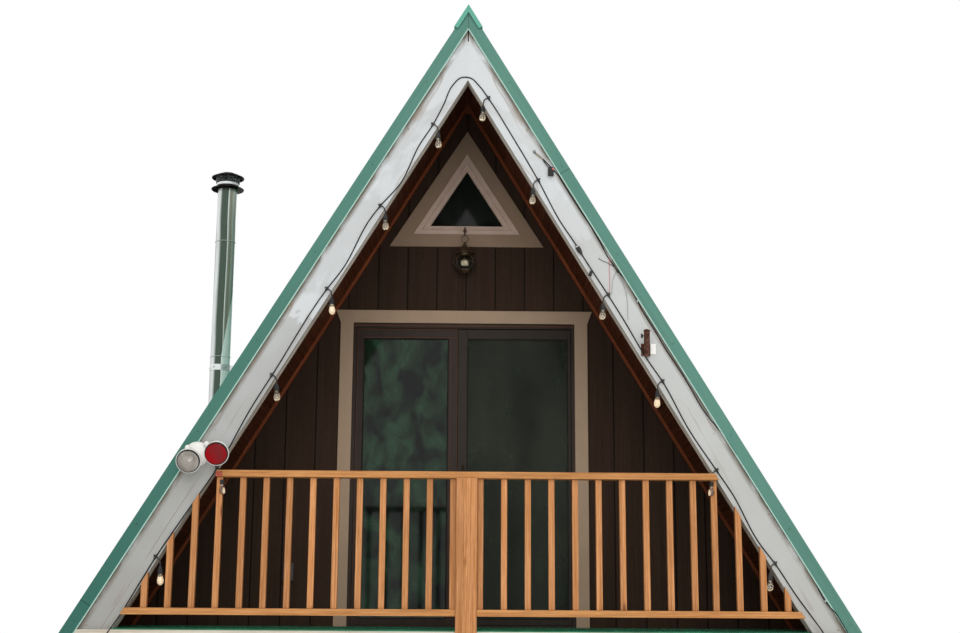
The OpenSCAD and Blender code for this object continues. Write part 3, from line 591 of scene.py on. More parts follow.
@dataclass(frozen=True)
class Moulding(Finish):
    """Moulded plastic, rubber, enamel or lacquered metal: one colour with dust and fine handling marks."""

    colour: str = "#202022"
    dust: str = "#6d6a64"
    dust_amount: float = 0.25
    roughness: float = 0.5
    grit_mm: float = 1.2

    def surface(self, add: Adder) -> Node:
        """Build the nodes.

        Args:
            add: Adds a node to the material.

        Returns:
            The surface shader.
        """
        raw = add("TexCoord").outputs["Object"]
        film = mottle(add, raw, (70, 70, 110), 0.35, 0.75, detail=6)
        film = add("Math", film, self.dust_amount, operation="MULTIPLY")
        colour = add("MixRGB", film, linear(self.colour), linear(self.dust))
        rough = add("MapRange", film, 0.0, 1.0, self.roughness, min(1.0, self.roughness + 0.35))
        grit = mottle(add, raw, (self.grit_mm,) * 3, 0.3, 0.7, detail=2)
        look = {"Base Color": colour, "Roughness": rough, "Specular IOR Level": 0.25}
        return coat(add, grit, 0.15, 0.15, look)


@dataclass(frozen=True)
class FloatGlass(Finish):
    """Float glass in a window or blown and pressed glass in a lamp, with a film of dust, thick on the lamp
    lenses: pale on the clear lens as painted glare, red on the red lens.

    Dark rooms show through the panes, so the glass itself carries a faint green-grey tint.
    """

    tint: str = "#e6efec"
    film: str = "#8a918c"
    dust_and_glare_amount: float = 0.05
    roughness: float = 0.02

    def surface(self, add: Adder) -> Node:
        """Build the nodes.

        Args:
            add: Adds a node to the material.

        Returns:
            The surface shader.
        """
        raw = add("TexCoord").outputs["Object"]
        smear = mottle(add, raw, (240, 240, 520), 0.4, 0.75, detail=5)
        rough = add("MapRange", smear, 0.0, 1.0, self.roughness, self.roughness + 0.05)
        tint = linear(self.tint)
        look = {"Base Color": tint, "Roughness": rough, "IOR": 1.5, "Transmission Weight": 1.0}
        glass = add("BsdfPrincipled", named=look)
        # dust film, which on the clear lamp lens is thick and pale as painted glare
        dust = add("BsdfDiffuse", linear(self.film), 0.5)
        share = add("Math", smear, self.dust_and_glare_amount, operation="MULTIPLY")
        return add("MixShader", share, glass, dust)


@dataclass(frozen=True)
class DarkPane(Finish):
    """Window glass in front of an unlit room: nearly black and glossy, mottled dark green as painted
    reflection of the trees near it.

    A pane is 6 mm thick and backs on darkness, so it is drawn as a glossy dark surface, painted in the
    room's shade, with a faint see-through.
    """

    deep: str = "#0c120e"
    green: str = "#2f4c36"
    clear: float = 0.35
    patch_mm: float = 110.0

    def surface(self, add: Adder) -> Node:
        """Build the nodes.

        Args:
            add: Adds a node to the material.

        Returns:
            The surface shader.
        """
        raw = add("TexCoord").outputs["Object"]
        # dark green mottling is painted reflection of trees
        leaf = mottle(add, raw, (self.patch_mm, 400, self.patch_mm * 1.6), 0.38, 0.68, detail=6, twist=0.5)
        colour = add("MixRGB", leaf, linear(self.deep), linear(self.green))
        ripple = mottle(add, raw, (600, 600, 600), 0.2, 0.8, detail=1)
        look = {"Base Color": colour, "Roughness": 0.06, "IOR": 1.5, "Transmission Weight": self.clear}
        return coat(add, ripple, 0.05, 0.5, look | {"Specular IOR Level": 0.14})


@dataclass(frozen=True)
class WovenScreen(Finish):
    """Coated fibreglass insect screen, plain woven with 1.4 mm openings.

    It gives the eye a dull dark veil; the threads are drawn 6 mm apart, because the real ones are far
    below a pixel.
    """

    thread: str = "#2e302b"
    pitch_mm: float = 6.0
    cover: float = 0.62

    def surface(self, add: Adder) -> Node:
        """Build the nodes.

        Args:
            add: Adds a node to the material.

        Returns:
            The surface shader.
        """
        raw = add("TexCoord").outputs["Object"]
        split = add("SeparateXYZ", raw)
        lines = []
        for axis in (0, 2):
            turns = add(
                "Math", split.outputs[axis], 2 * math.pi / (self.pitch_mm * MM), operation="MULTIPLY"
            )
            lines.append(add("Math", turns, operation="SINE"))
        weave = add("Math", lines[0], lines[1], operation="MAXIMUM")
        cover = add("MapRange", weave, -1.0, 1.0, self.cover - 0.25, self.cover + 0.2)
        sag = mottle(add, raw, (300, 300, 700), 0.3, 0.7, detail=4)
        colour = add("MixRGB", sag, linear(self.thread), linear("#454940"))
        cloth = add("BsdfDiffuse", colour, 0.6)
        gap = add("BsdfTransparent")
        return add("MixShader", cover, gap, cloth)


@dataclass(frozen=True)
class WovenCloth(Finish):
    """Plain woven curtain cotton or the tufted pile of artificial turf: matt fibres with a little sheen."""

    pale: str = "#6d6b62"
    dark: str = "#4b4a43"
    thread_mm: float = 2.0
    sheen: float = 0.3

    def surface(self, add: Adder) -> Node:
        """Build the nodes.

        Args:
            add: Adds a node to the material.

        Returns:
            The surface shader.
        """
        raw = add("TexCoord").outputs["Object"]
        thread = mottle(add, raw, (self.thread_mm,) * 3, 0.35, 0.65, detail=2)
        patch = mottle(add, raw, (160, 160, 160), 0.3, 0.7, detail=4)
        mix = add("Math", thread, patch, operation="MULTIPLY")
        colour = add("MixRGB", mix, linear(self.dark), linear(self.pale))
        return coat(
            add, thread, 0.5, 0.8, {"Base Color": colour, "Roughness": 0.9, "Sheen Weight": self.sheen}
        )


@dataclass(frozen=True)
class CastConcrete(Finish):
    """Concrete poured between boards: grey, blotched, pitted, with the boards' lines along it."""

    pale: str = "#a19e97"
    dark: str = "#77736c"

    def surface(self, add: Adder) -> Node:
        """Build the nodes.

        Args:
            add: Adds a node to the material.

        Returns:
            The surface shader.
        """
        raw = add("TexCoord").outputs["Object"]
        blotch = mottle(add, raw, (420, 420, 160), 0.3, 0.7, detail=8)
        damp = mottle(add, raw, (1500, 1500, 90), 0.45, 0.65, detail=5)
        tone = add("Math", blotch, damp, operation="MAXIMUM")
        colour = add("MixRGB", tone, linear(self.pale), linear(self.dark))
        pits = mottle(add, raw, (7, 7, 7), 0.3, 0.6, detail=5)
        return coat(add, pits, 0.5, 1.5, {"Base Color": colour, "Roughness": 0.88})


@dataclass(frozen=True)
class LitFilament(Finish):
    """Warm wire glowing as a painted highlight, a lit lamp core, or a pale frosted lamp that catches
    daylight.
    """

    colour: str = "#ffd9a8"
    strength: float = 0.6

    def surface(self, add: Adder) -> Node:
        """Build the nodes.

        Args:
            add: Adds a node to the material.

        Returns:
            The surface shader.
        """
        raw = add("TexCoord").outputs["Object"]
        patch = mottle(add, raw, (8, 8, 8), 0.3, 0.7, detail=2)
        colour = add("MixRGB", patch, linear(self.colour), linear("#fff2dc"))
        glow = {"Emission Color": colour, "Emission Strength": self.strength}
        return add("BsdfPrincipled", named={"Base Color": colour, "Roughness": 0.35} | glow)


@dataclass(frozen=True)
class FloorPaint(Finish):
    """Pale matt paint of the studio floor."""

    colour: str = "#e9e9e7"

    def surface(self, add: Adder) -> Node:
        """Build the nodes, and return the surface shader."""
        return add("BsdfPrincipled", named={"Base Color": linear(self.colour), "Roughness": 0.85})


# Timbers
CEDAR_RAIL = PlanedTimber(
    "clear oiled cedar, planed, lying", "#bf8a57", "#9f6a3c", Grain.ALONG_X, 9, 900, 0.05, 0.5, 0.22
)
CEDAR_UPRIGHT = PlanedTimber(
    "clear oiled cedar, planed, upright", "#c28b5e", "#a1693b", Grain.ALONG_Z, 8, 70, 0.16, 0.5, 0.2
)
SOFFIT_BOARD = PlanedTimber(
    "red-brown stained pine boarding, planed", "#6a3a26", "#57301f", Grain.ALONG_Y, 14, 133, 0.2, 0.55
)
ROOF_TIMBER = PlanedTimber(
    "red-brown stained rafter, sawn", "#4c2a1e", "#2d160d", Grain.DOWN_SLOPE, 12, 9000, 0.0, 0.65
)
END_RAFTER = PlanedTimber(
    "pale painted rafter, brushed", "#efe7dc", "#e0d4c6", Grain.DOWN_SLOPE, 24, 9000, 0.0, 0.65, 0.0, 0.25,
    "#9b8f81"
)
# the siding's grooves are painted dark: painted shade with dirt
SIDING = PlanedTimber(
    "dark stained grooved plywood, rotary cut", "#3b2c23", "#34271f", Grain.ALONG_Z, 16, 203.2, 0.08, 0.6,
    gloss=0.1, groove_mm=203.2
)
FLOORING = PlanedTimber(
    "oiled pine flooring, planed", "#94774f", "#6b4f30", Grain.ALONG_Y, 12, 140, 0.14, 0.5, 0.08
)
DECKING = PlanedTimber(
    "treated deck board, sawn", "#8f7049", "#664a2c", Grain.ALONG_X, 12, 145, 0.1, 0.75, 0.1, 0.3
)
JOIST = PlanedTimber("treated joist, sawn", "#92734b", "#6b5031", Grain.ALONG_Y, 12, 400, 0.1, 0.8, 0.1, 0.2)
RIM_BOARD = PlanedTimber(
    "unpainted rim board, weathered", "#cfc6b6", "#9c8f7c", Grain.ALONG_X, 14, 9000, 0.0, 0.8, 0.05, 0.55,
    "#b9b4a9"
)
TAUPE_TRIM = Moulding("taupe painted trim board, brushed", "#a08a74", "#8f7c68", 0.3, 0.6, 3.0)
# the same taupe paint, darker as painted shade under the peak
SHADED_TRIM = Moulding("taupe painted window trim, brushed, painted shade", "#8d7865", "#7d6b5a", 0.3, 0.6, 3.0)
FADED_FRAME = Moulding("faded window frame paint, brushed", "#c0a99c", "#98836f", 0.35, 0.6, 3.0)
SOFFIT_STRIP = PlanedTimber(
    "orange-brown stained strip, planed", "#8a4a2c", "#683521", Grain.DOWN_SLOPE, 10, 9000, 0.0, 0.55
)
BLOCK_PAINT = PlanedTimber(
    "raw red cedar offcut, sawn", "#b5604f", "#93473a", Grain.ALONG_X, 6, 9000, 0.0, 0.7
)
FASCIA_PAINT = PeelingPaint("white exterior paint on boards, brushed and weathered")
# Metals
# all green coats are painted darker to the left and paler to the right as painted shade and painted light
ROOF_COAT = CoilCoatedSteel("green coil coated steel, ribbed")
# the folded trim also gets a pale painted highlight along its lip
TRIM_COAT = CoilCoatedSteel("green coil coated steel, folded trim", "#114e44", "#527c70", "#b4d4ca", -68 * MM)
CAP_COAT = CoilCoatedSteel("green coil coated steel, folded ridge cap")
# the flue pipe's reflections are painted into its colour
PIPE_STEEL_PAINTED_REFLECTIONS = PaintedReflectionSteel("stainless steel flue pipe, rolled bright")
BAND_STEEL = DullMetal("stainless steel band, rolled bright", "#e2e5e6", "#b5b2ab", 0.25, 160, 0.75, 0.3)
SMOKED_CAP = DullMetal("stainless steel flue cap, smoke stained", "#6b6966", "#1f1c1a", 0.8, 90, 1.0, 0.4)
GALVANISED = DullMetal("galvanised steel, hot dipped", "#a9adae", "#84878a", 0.5, 40, 0.9, 0.42, 6)
BRONZED_IRON = DullMetal(
    "cast iron under dark bronze lacquer", "#5c4835", "#32271d", 0.5, 25, 0.4, 0.42, 2, 0.25
)
RUSTED_STEEL = DullMetal("steel tube, painted and rusted", "#6a4a3d", "#4a2a1f", 0.7, 18, 0.35, 0.6, 1.5, 0.5)
SCREW_ZINC = DullMetal("zinc plated screw, cold formed", "#b4b6b4", "#7f7f7c", 0.4, 10, 1.0, 0.35)
SCREW_RUST = DullMetal("rusted screw head, cold formed", "#6a3f28", "#40251a", 0.6, 6, 0.3, 0.7, 1.0, 0.5)
LAMP_CAP = DullMetal("nickel plated lamp cap, drawn", "#a39a86", "#6f6856", 0.4, 8, 1.0, 0.35)
REFLECTOR = DullMetal("aluminised lamp reflector, pressed", "#d6d8d8", "#a9abab", 0.2, 30, 1.0, 0.15)
# Coated, moulded and cast
DARK_EXTRUSION = Moulding("dark brown aluminium door frame, extruded", "#2b211b", "#4a4038", 0.2, 0.4)
RUBBED_EDGE = Moulding("brown aluminium edge, rubbed", "#4d3125", "#5e463a", 0.3, 0.5)
SCREEN_EXTRUSION = Moulding("dark brown screen frame, roll formed", "#2a241f", "#453d36", 0.22, 0.45)
DARK_RUBBER = Moulding("black rubber glazing gasket, extruded", "#151515", "#4a4844", 0.2, 0.7)
BLACK_LEAD = Moulding("black rubber lead, extruded", "#0d0d0e", "#3a3936", 0.1, 0.7)
BLACK_SOCKET = Moulding("black phenolic lamp socket, moulded", "#232325", "#5d5a55", 0.25, 0.5)
WHITE_ENAMEL = Moulding("white enamelled steel canopy, spun", "#dddcd8", "#a9a59b", 0.3, 0.3)
SLATE_PLASTIC = Moulding("dark slate outlet box, moulded", "#48464a", "#6b6864", 0.3, 0.5)
PALE_PLASTIC = Moulding("pale grey connector ring, moulded", "#b9b7b1", "#8c8980", 0.3, 0.5)
BEIGE_SLEEVE = Moulding("beige-grey cable sleeve, moulded", "#8f877b", "#6a645a", 0.3, 0.6)
RED_WIRE = Moulding("pinkish red wire insulation, extruded", "#b8605c", "#7a4b48", 0.2, 0.5)
GREY_WIRE = Moulding("thin grey wire insulation, extruded", "#8f9292", "#6a6a68", 0.2, 0.5)
CONCRETE = CastConcrete("concrete curb, board formed")
# Glass
# both panes carry painted reflections of trees as green mottling
DOOR_PANE = DarkPane("float glass in front of a dark room", clear=0.3)
GABLE_PANE = DarkPane("float glass under the roof peak", "#101211", "#232824", 0.3, 180)
GLOBE_GLASS = FloatGlass("clear lantern glass, blown", "#dfe6e0", "#8a918c", 0.1, 0.01)
BULB_GLASS = FloatGlass("clear bulb glass, blown", "#f1ece2", "#9a958c", 0.05, 0.01)
# the clear lens's thick pale film is painted glare of the reflector behind it
CLEAR_LENS_WITH_GLARE = FloatGlass("clear lamp lens, pressed, glare painted", "#e6e2dc", "#b0a9a0", 1.2, 0.08)
RED_LENS = FloatGlass("red stained lamp lens, pressed", "#a3101a", "#8e0f17", 1.5, 0.08)
FILAMENT_HIGHLIGHT = LitFilament("warm lamp filament, coiled, painted highlight")
LIT_CORE = LitFilament("lit lamp core, frosted", "#ffe6c4", 0.7)
AMBER = LitFilament("amber lamp rim, lit", "#d9893c", 0.3)
FROSTED = LitFilament("frosted lamp, pale", "#cfae80", 0.25)
# Cloth
SCREEN_MESH = WovenScreen("dark insect screen, plain woven")
CURTAIN_CLOTH = WovenCloth("grey-green curtain cotton, plain woven", "#6d6b60", "#4b4a41", 2.0, 0.3)
TURF_PILE = WovenCloth("green artificial turf, tufted", "#2a8560", "#124e34", 5.0, 0.1)


# Mesh making
def around(radius: float, angle: float, z: float = 0.0) -> Vector:
    """Point of a level circle round the origin."""
    return Vector((radius * math.cos(angle), radius * math.sin(angle), z))


class Solid:
    """A mesh under construction in the row frame: points in metres, and the faces between them."""

    def __init__(self) -> None:
        """Start with nothing in it."""
        self.points: list[Vector] = []
        self.faces: list[list[int]] = []

    def add(
        self, points: Iterable[Vector], faces: Iterable[Sequence[int]], turn: Matrix | None = None
    ) -> None:
        """Add points and the faces between them.

        Args:
            points: Points.
            faces: Each face's points, by number.
            turn: Matrix that turns and moves the points.
        """
        start = len(self.points)
        self.points += [turn @ Vector(p) if turn else Vector(p) for p in points]
        self.faces += [[start + i for i in face] for face in faces]

    def stamp(self, other: "Solid", turns: Iterable[Matrix]) -> None:
        """Add a copy of another mesh for each matrix."""
        for turn in turns:
            self.add(other.points, other.faces, turn)

    def block(
        self, low: Sequence[float], high: Sequence[float], turn: Matrix | None = None, chamfer: float = 0.0
    ) -> None:
        """Add a box with broken edges.

        Args:
            low: Lowest corner.
            high: Highest corner.
            turn: Matrix applied after the box is made.
            chamfer: Width taken off each edge.
        """
        bm = bmesh.new()
        bmesh.ops.create_cube(bm, size=1.0)
        size = Vector(high) - Vector(low)
        bmesh.ops.scale(bm, vec=size, verts=bm.verts)
        bmesh.ops.translate(bm, vec=(Vector(low) + Vector(high)) / 2, verts=bm.verts)
        if chamfer:
            width = min(chamfer, 0.45 * min(size))
            bmesh.ops.bevel(bm, geom=bm.edges[:], offset=width, segments=1, profile=0.5, affect="EDGES")
        bm.verts.index_update()
        self.add([v.co.copy() for v in bm.verts], [[v.index for v in f.verts] for f in bm.faces], turn)
        bm.free()

    def lathe(self, profile: Sequence[tuple[float, float]], turn: Matrix, steps: int = 32) -> None:
        """Add a solid of revolution round local z.

        Args:
            profile: Radius and height of each point; the line is closed at the axis or left open.
            turn: Matrix that puts local z where the axis is.
            steps: Sides of the full turn.
        """
        rings: list[list[int]] = []
        points: list[Vector] = []
        for radius, height in profile:
            if radius < 1e-7:
                rings.append([len(points)])
                points.append(Vector((0, 0, height)))
                continue
            rings.append(list(range(len(points), len(points) + steps)))
            points += [around(radius, 2 * math.pi * k / steps, height) for k in range(steps)]
        faces: list[list[int]] = []
        for lower, upper in zip(rings, rings[1:]):
            for k in range(steps):
                j = (k + 1) % steps
                face = [lower[k % len(lower)], lower[j % len(lower)]]
                face += [upper[j % len(upper)], upper[k % len(upper)]]
                unique = list(dict.fromkeys(face))
                if len(unique) > 2:
                    faces.append(unique)
        self.add(points, faces, turn)

    def tube(self, path: Sequence[Vector], radius: float, sides: int = 8, closed: bool = False) -> None:
        """Add a round tube along a path.

        Args:
            path: Points of the centreline.
            radius: Radius of the tube.
            sides: Sides of its outline.
            closed: Whether the path's last point joins its first.
        """
        count = len(path)
        points: list[Vector] = []
        side = Vector((0, 0, 1))
        for i, here in enumerate(path):
            before = path[i - 1] if i or closed else path[0]
            after = path[(i + 1) % count] if i < count - 1 or closed else path[-1]
            along = (Vector(after) - Vector(before)).normalized()
            side = side - along * side.dot(along)
            if side.length < 1e-4:
                side = along.orthogonal()
            side.normalize()
            up = along.cross(side)
            for k in range(sides):
                a = 2 * math.pi * k / sides
                points.append(Vector(here) + radius * (side * math.cos(a) + up * math.sin(a)))
        faces: list[list[int]] = []
        for i in range(count if closed else count - 1):
            j = (i + 1) % count
            for k in range(sides):
                m = (k + 1) % sides
                faces.append([i * sides + k, i * sides + m, j * sides + m, j * sides + k])
        if not closed:
            faces.append(list(range(sides))[::-1])
            faces.append(list(range((count - 1) * sides, count * sides)))
        self.add(points, faces)

    def prism(self, outline: Sequence[Vector], run: Vector) -> None:
        """Add a straight prism.

        Args:
            outline: Corners of its flat end.
            run: Way and length that the end is carried.
        """
        count = len(outline)
        faces = [[i, (i + 1) % count, count + (i + 1) % count, count + i] for i in range(count)]
        faces += [list(range(count))[::-1], list(range(count, 2 * count))]
        self.add([*outline, *(p + run for p in outline)], faces)

    def grid(self, columns: int, rows: int, spot: Callable[[float, float], Vector]) -> None:
        """Add a sheet of four-cornered cells.

        Args:
            columns: Cells across.
            rows: Cells up.
            spot: Gives the point at a share of the way across and up.
        """
        step = columns + 1
        points = [spot(i / columns, j / rows) for j in range(rows + 1) for i in range(step)]
        starts = [j * step + i for j in range(rows) for i in range(columns)]
        self.add(points, [[k, k + 1, k + step + 1, k + step] for k in starts])

    def mesh(self, name: str) -> bpy.types.Mesh:
        """Make the mesh, with its faces turned outwards.

        Args:
            name: Name of the mesh.

        Returns:
            The mesh.
        """
        made = bpy.data.meshes.new(name)
        made.from_pydata([tuple(p) for p in self.points], [], self.faces)
        made.validate()
        bm = bmesh.new()
        bm.from_mesh(made)
        bmesh.ops.recalc_face_normals(bm, faces=bm.faces)
        bm.to_mesh(made)
        bm.free()
        return made


def show(made: Solid | bpy.types.Mesh, name: str, finish: Finish, slot: str) -> bpy.types.Object:
    """Put a mesh in the scene as a finished piece of the cabin.

    Args:
        made: The piece's mesh, or the solid that gives it.
        name: The piece's name.
        finish: Its finish.
        slot: Not used.

    Returns:
        The piece.
    """
    mesh = made.mesh(name) if isinstance(made, Solid) else made
    mesh.materials.clear()
    mesh.materials.append(finish.material())
    old_normals = mesh.attributes.get("custom_normal")
    if old_normals:
        mesh.attributes.remove(old_normals)
    if mesh.get("planed"):
        mesh.shade_flat()
    else:
        mesh.shade_smooth()
        mesh.set_sharp_from_angle(angle=math.radians(32))
    piece = bpy.data.objects.new(name, mesh)
    bpy.context.scene.collection.objects.link(piece)
    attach(piece, "root")
    LOG.info("%s: %d faces, %s", name, len(mesh.polygons), finish.name)
    return piece


def stand_in(made: Solid | bpy.types.Mesh, name: str, finish: Finish, node: str) -> bpy.types.Object:
    """Show a piece that stands for a CAD node, and hide the node.

    Args:
        made: The piece's mesh, or the solid that gives it.
        name: The piece's name.
        finish: Its finish.
        node: CAD node that it stands for.

    Returns:
        The piece.
    """
    piece = show(made, name, finish, node)
    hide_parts(node)
    return piece


def dress(node: str, finish: Finish) -> None:
    """Give a CAD node a finish, and leave its shape alone.

    Args:
        node: CAD node.
        finish: Its finish.
    """
    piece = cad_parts[node]
    piece.data.materials.clear()
    piece.data.materials.append(finish.material())
    LOG.info("%s: CAD node in %s", node, finish.name)


def welded(node: str, whole: bool = True, low_y: float = -99.0, high_y: float = 99.0) -> bpy.types.Mesh:
    """A copy of a CAD node's mesh with its points joined.

    Args:
        node: CAD node.
        whole: Whether flat faces are made whole; a wall with holes keeps its triangles.
        low_y: Solids that reach further forward are left out.
        high_y: Solids that reach further back are left out.

    Returns:
        The new mesh.
    """
    mesh = bpy.data.meshes.new(node + "_copy")
    bm = bmesh.new()
    bm.from_mesh(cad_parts[node].data)
    bmesh.ops.remove_doubles(bm, verts=bm.verts, dist=2e-6)
    bmesh.ops.delete(bm, geom=[v for v in bm.verts if not low_y < v.co.y < high_y], context="VERTS")
    if whole:
        bmesh.ops.dissolve_limit(bm, angle_limit=math.radians(0.5), verts=bm.verts, edges=bm.edges)
    bm.to_mesh(mesh)
    bm.free()
    return mesh


def eased(mesh: bpy.types.Mesh, width: float, segments: int = 1) -> bpy.types.Mesh:
    """Break a mesh's sharp edges, as a plane or a die does.

    Args:
        mesh: Closed mesh, changed in place.
        width: Width taken off each edge.
        segments: Facets of the rounding.

    Returns:
        The same mesh.
    """
    bm = bmesh.new()
    bm.from_mesh(mesh)
    sharp = [e for e in bm.edges if len(e.link_faces) == 2 and e.calc_face_angle(0.0) > math.radians(30)]
    bmesh.ops.bevel(
        bm, geom=sharp, offset=width, segments=segments, profile=0.5, affect="EDGES", clamp_overlap=True
    )
    bm.to_mesh(mesh)
    bm.free()
    mesh["planed"] = True  # flat faces, shaded flat
    return mesh


def carved(mesh: bpy.types.Mesh, cutters: Solid) -> bpy.types.Mesh:
    """Take grooves out of a closed mesh.

    Args:
        mesh: Closed mesh.
        cutters: Closed solids to take away, none of which touch each other.

    Returns:
        A new mesh.
    """
    blank = bpy.data.objects.new("blank", mesh)
    tool = bpy.data.objects.new("tool", cutters.mesh("tool"))
    for piece in (blank, tool):
        bpy.context.scene.collection.objects.link(piece)
    cut = blank.modifiers.new("cut", "BOOLEAN")
    cut.operation = "DIFFERENCE"
    cut.solver = "EXACT"
    cut.object = tool
    made = bpy.data.meshes.new_from_object(blank.evaluated_get(bpy.context.evaluated_depsgraph_get()))
    for piece in (blank, tool):
        bpy.data.objects.remove(piece)
    made["planed"] = True
    return made


def facing(direction: Sequence[float], place: Sequence[float]) -> Matrix:
    """Matrix whose z points in a direction, moved to a place."""
    turn = Vector(direction).to_track_quat("Z", "Y").to_matrix().to_4x4()
    return Matrix.Translation(Vector(place)) @ turn


def smooth_path(points: Sequence[Vector], step: float) -> list[Vector]:
    """A smooth curve through points, cut into short steps.

    Args:
        points: Points that the curve goes through.
        step: Greatest distance between the curve's own points.

    Returns:
        The curve's points.
    """
    path: list[Vector] = []
    ends = [points[0] * 2 - points[1], *points, points[-1] * 2 - points[-2]]
    for a, b, c, d in zip(ends, ends[1:], ends[2:], ends[3:]):
        before, here, after = (b - a).length, (c - b).length, (d - c).length
        start = ((b - a) * here / before + (c - b) * before / here) * here / (before + here)
        stop = ((c - b) * after / here + (d - c) * here / after) * here / (here + after)
        pieces = max(1, math.ceil(here / step))
        for i in range(pieces):
            t = i / pieces
            bend = (c - b) * (3 - 2 * t) * t**2 + start * (t - 1) ** 2 * t + stop * (t - 1) * t**2
            path.append(b + bend)
    path.append(points[-1].copy())
    return path


def path_length(path: Sequence[Vector]) -> float:
    """Length of a line through points."""
    return sum((b - a).length for a, b in zip(path, path[1:]))


def hex_screw(head: float = 5 * MM, washer: float = 8 * MM) -> Solid:
    """A roofing screw's hexagon head on its domed washer, pointing along +Z.

    Args:
        head: Radius of the head.
        washer: Radius of the washer.

    Returns:
        The screw.
    """
    made = Solid()
    made.lathe([(washer, 0), (washer, 1 * MM), (washer * 0.7, 2.2 * MM), mm(0, 2.4)], Matrix(), 12)
    made.lathe([(head, 2 * MM), (head, 5.5 * MM), (head * 0.7, 6.5 * MM), mm(0, 6.5)], Matrix(), 6)
    return made


# Sub-assemblies
@dataclass
class MetalRoof:
    """Ribbed sheets, ridge cap and edge trims, with the screws and laps that hold them."""

    rib_pitch: float = 228.6 * MM
    rib_base: float = 54 * MM
    first_row: float = 0.45
    row_pitch: float = 0.61
    screw_gap: float = 15 * MM
    flue_gap: float = 0.05
    cap_wing: float = 158 * MM
    cap_n: float = 7 * MM
    trim_screw_down: tuple[float, ...] = (0.55, 1.17, 1.81, 2.44, 3.07, 3.70, 4.33, 4.96, 5.59, 6.22, 6.85)
    lap_down: float = 1.21
    lap_down_left: float = 4.22
    lap_w: float = 0.11

    def build(self) -> None:
        """Dress the sheets and add the fixings."""
        for side in ("left", "right"):
            dress(f"roof_sheet_{side}", ROOF_COAT)
        dress("ridge_cap", CAP_COAT)
        dress("edge_trims", TRIM_COAT)
        self.sheet_screws()
        self.trim_fixings()

    def sheet_screws(self) -> None:
        """Screws beside the ribs in rows across the slope, and through the ridge cap into the ribs."""
        screw = hex_screw()
        span = LINES.end_y - LINES.face_y
        ribs = math.floor((span - self.rib_pitch) / self.rib_pitch)
        first = LINES.face_y + (span - ribs * self.rib_pitch) / 2
        low = LINES.down_to(0.2, LINES.sheet_n)
        count = int((low - self.first_row) / self.row_pitch) + 1
        rows = [self.first_row + i * self.row_pitch for i in range(count)]
        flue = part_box("flue_flashing")
        for side, name in ((-1, "left"), (1, "right")):
            made, turn = Solid(), LINES.slope_turn(side)
            for i in range(ribs):
                y = first + i * self.rib_pitch + self.rib_base / 2 + self.screw_gap
                for down in rows:
                    spot = LINES.on_slope(side, down, y, LINES.sheet_n)
                    beside = flue[0].x - self.flue_gap < spot.x < flue[1].x + self.flue_gap
                    if side < 0 and beside and flue[0].y < y < flue[1].y:
                        continue
                    made.stamp(screw, [Matrix.Translation(spot) @ turn])
            for i in range(0, ribs + 1, 2):
                spot = LINES.on_slope(side, self.cap_wing - 30 * MM, first + i * self.rib_pitch, self.cap_n)
                made.stamp(screw, [Matrix.Translation(spot) @ turn])
            show(made, f"roof_screws_{name}", ROOF_COAT, f"roof_sheet_{name}")

    def trim_fixings(self) -> None:
        """Small screws on the edge trims' faces, the laps where two lengths meet, and painted shade at each
        lap's edge.
        """
        screw, made, laps, lap_shade = hex_screw(3.6 * MM, 5.5 * MM), Solid(), Solid(), Solid()
        middle = -0.45 * LINES.trim_face
        for face, out in ((LINES.face_y - 3 * MM, -1), (LINES.end_y + 3 * MM, 1)):
            for side in (-1, 1):
                for down in self.trim_screw_down:
                    spot = LINES.on_slope(side, down, face, middle)
                    made.stamp(screw, [facing((0, out, 0), spot)])
                turn = Matrix.Translation((0, face, 0)) @ Matrix.Diagonal((side, out, 1, 1))
                turn = turn @ Matrix.Translation((0, -face, 0))
                corner = LINES.on_slope(1, self.lap_down if side > 0 else self.lap_down_left, face, 0)
                place = turn @ Matrix.Translation(corner) @ LINES.slope_turn(1)
                low_n = -LINES.trim_face + 10 * MM
                laps.block((0, 0, low_n), (self.lap_w, 1.4 * MM, -0.5 * MM), place)
                # a dark strip of painted shade along the lap's edge
                lap_shade.block((-3 * MM, 0, low_n - 3 * MM), mm(-0.5, 0.6, -0.5), place)
        show(made, "trim_screws", TRIM_COAT, "edge_trims")
        show(laps, "trim_laps", TRIM_COAT, "edge_trims")
        show(lap_shade, "lap_shade_lines", DARK_RUBBER, "edge_trims")


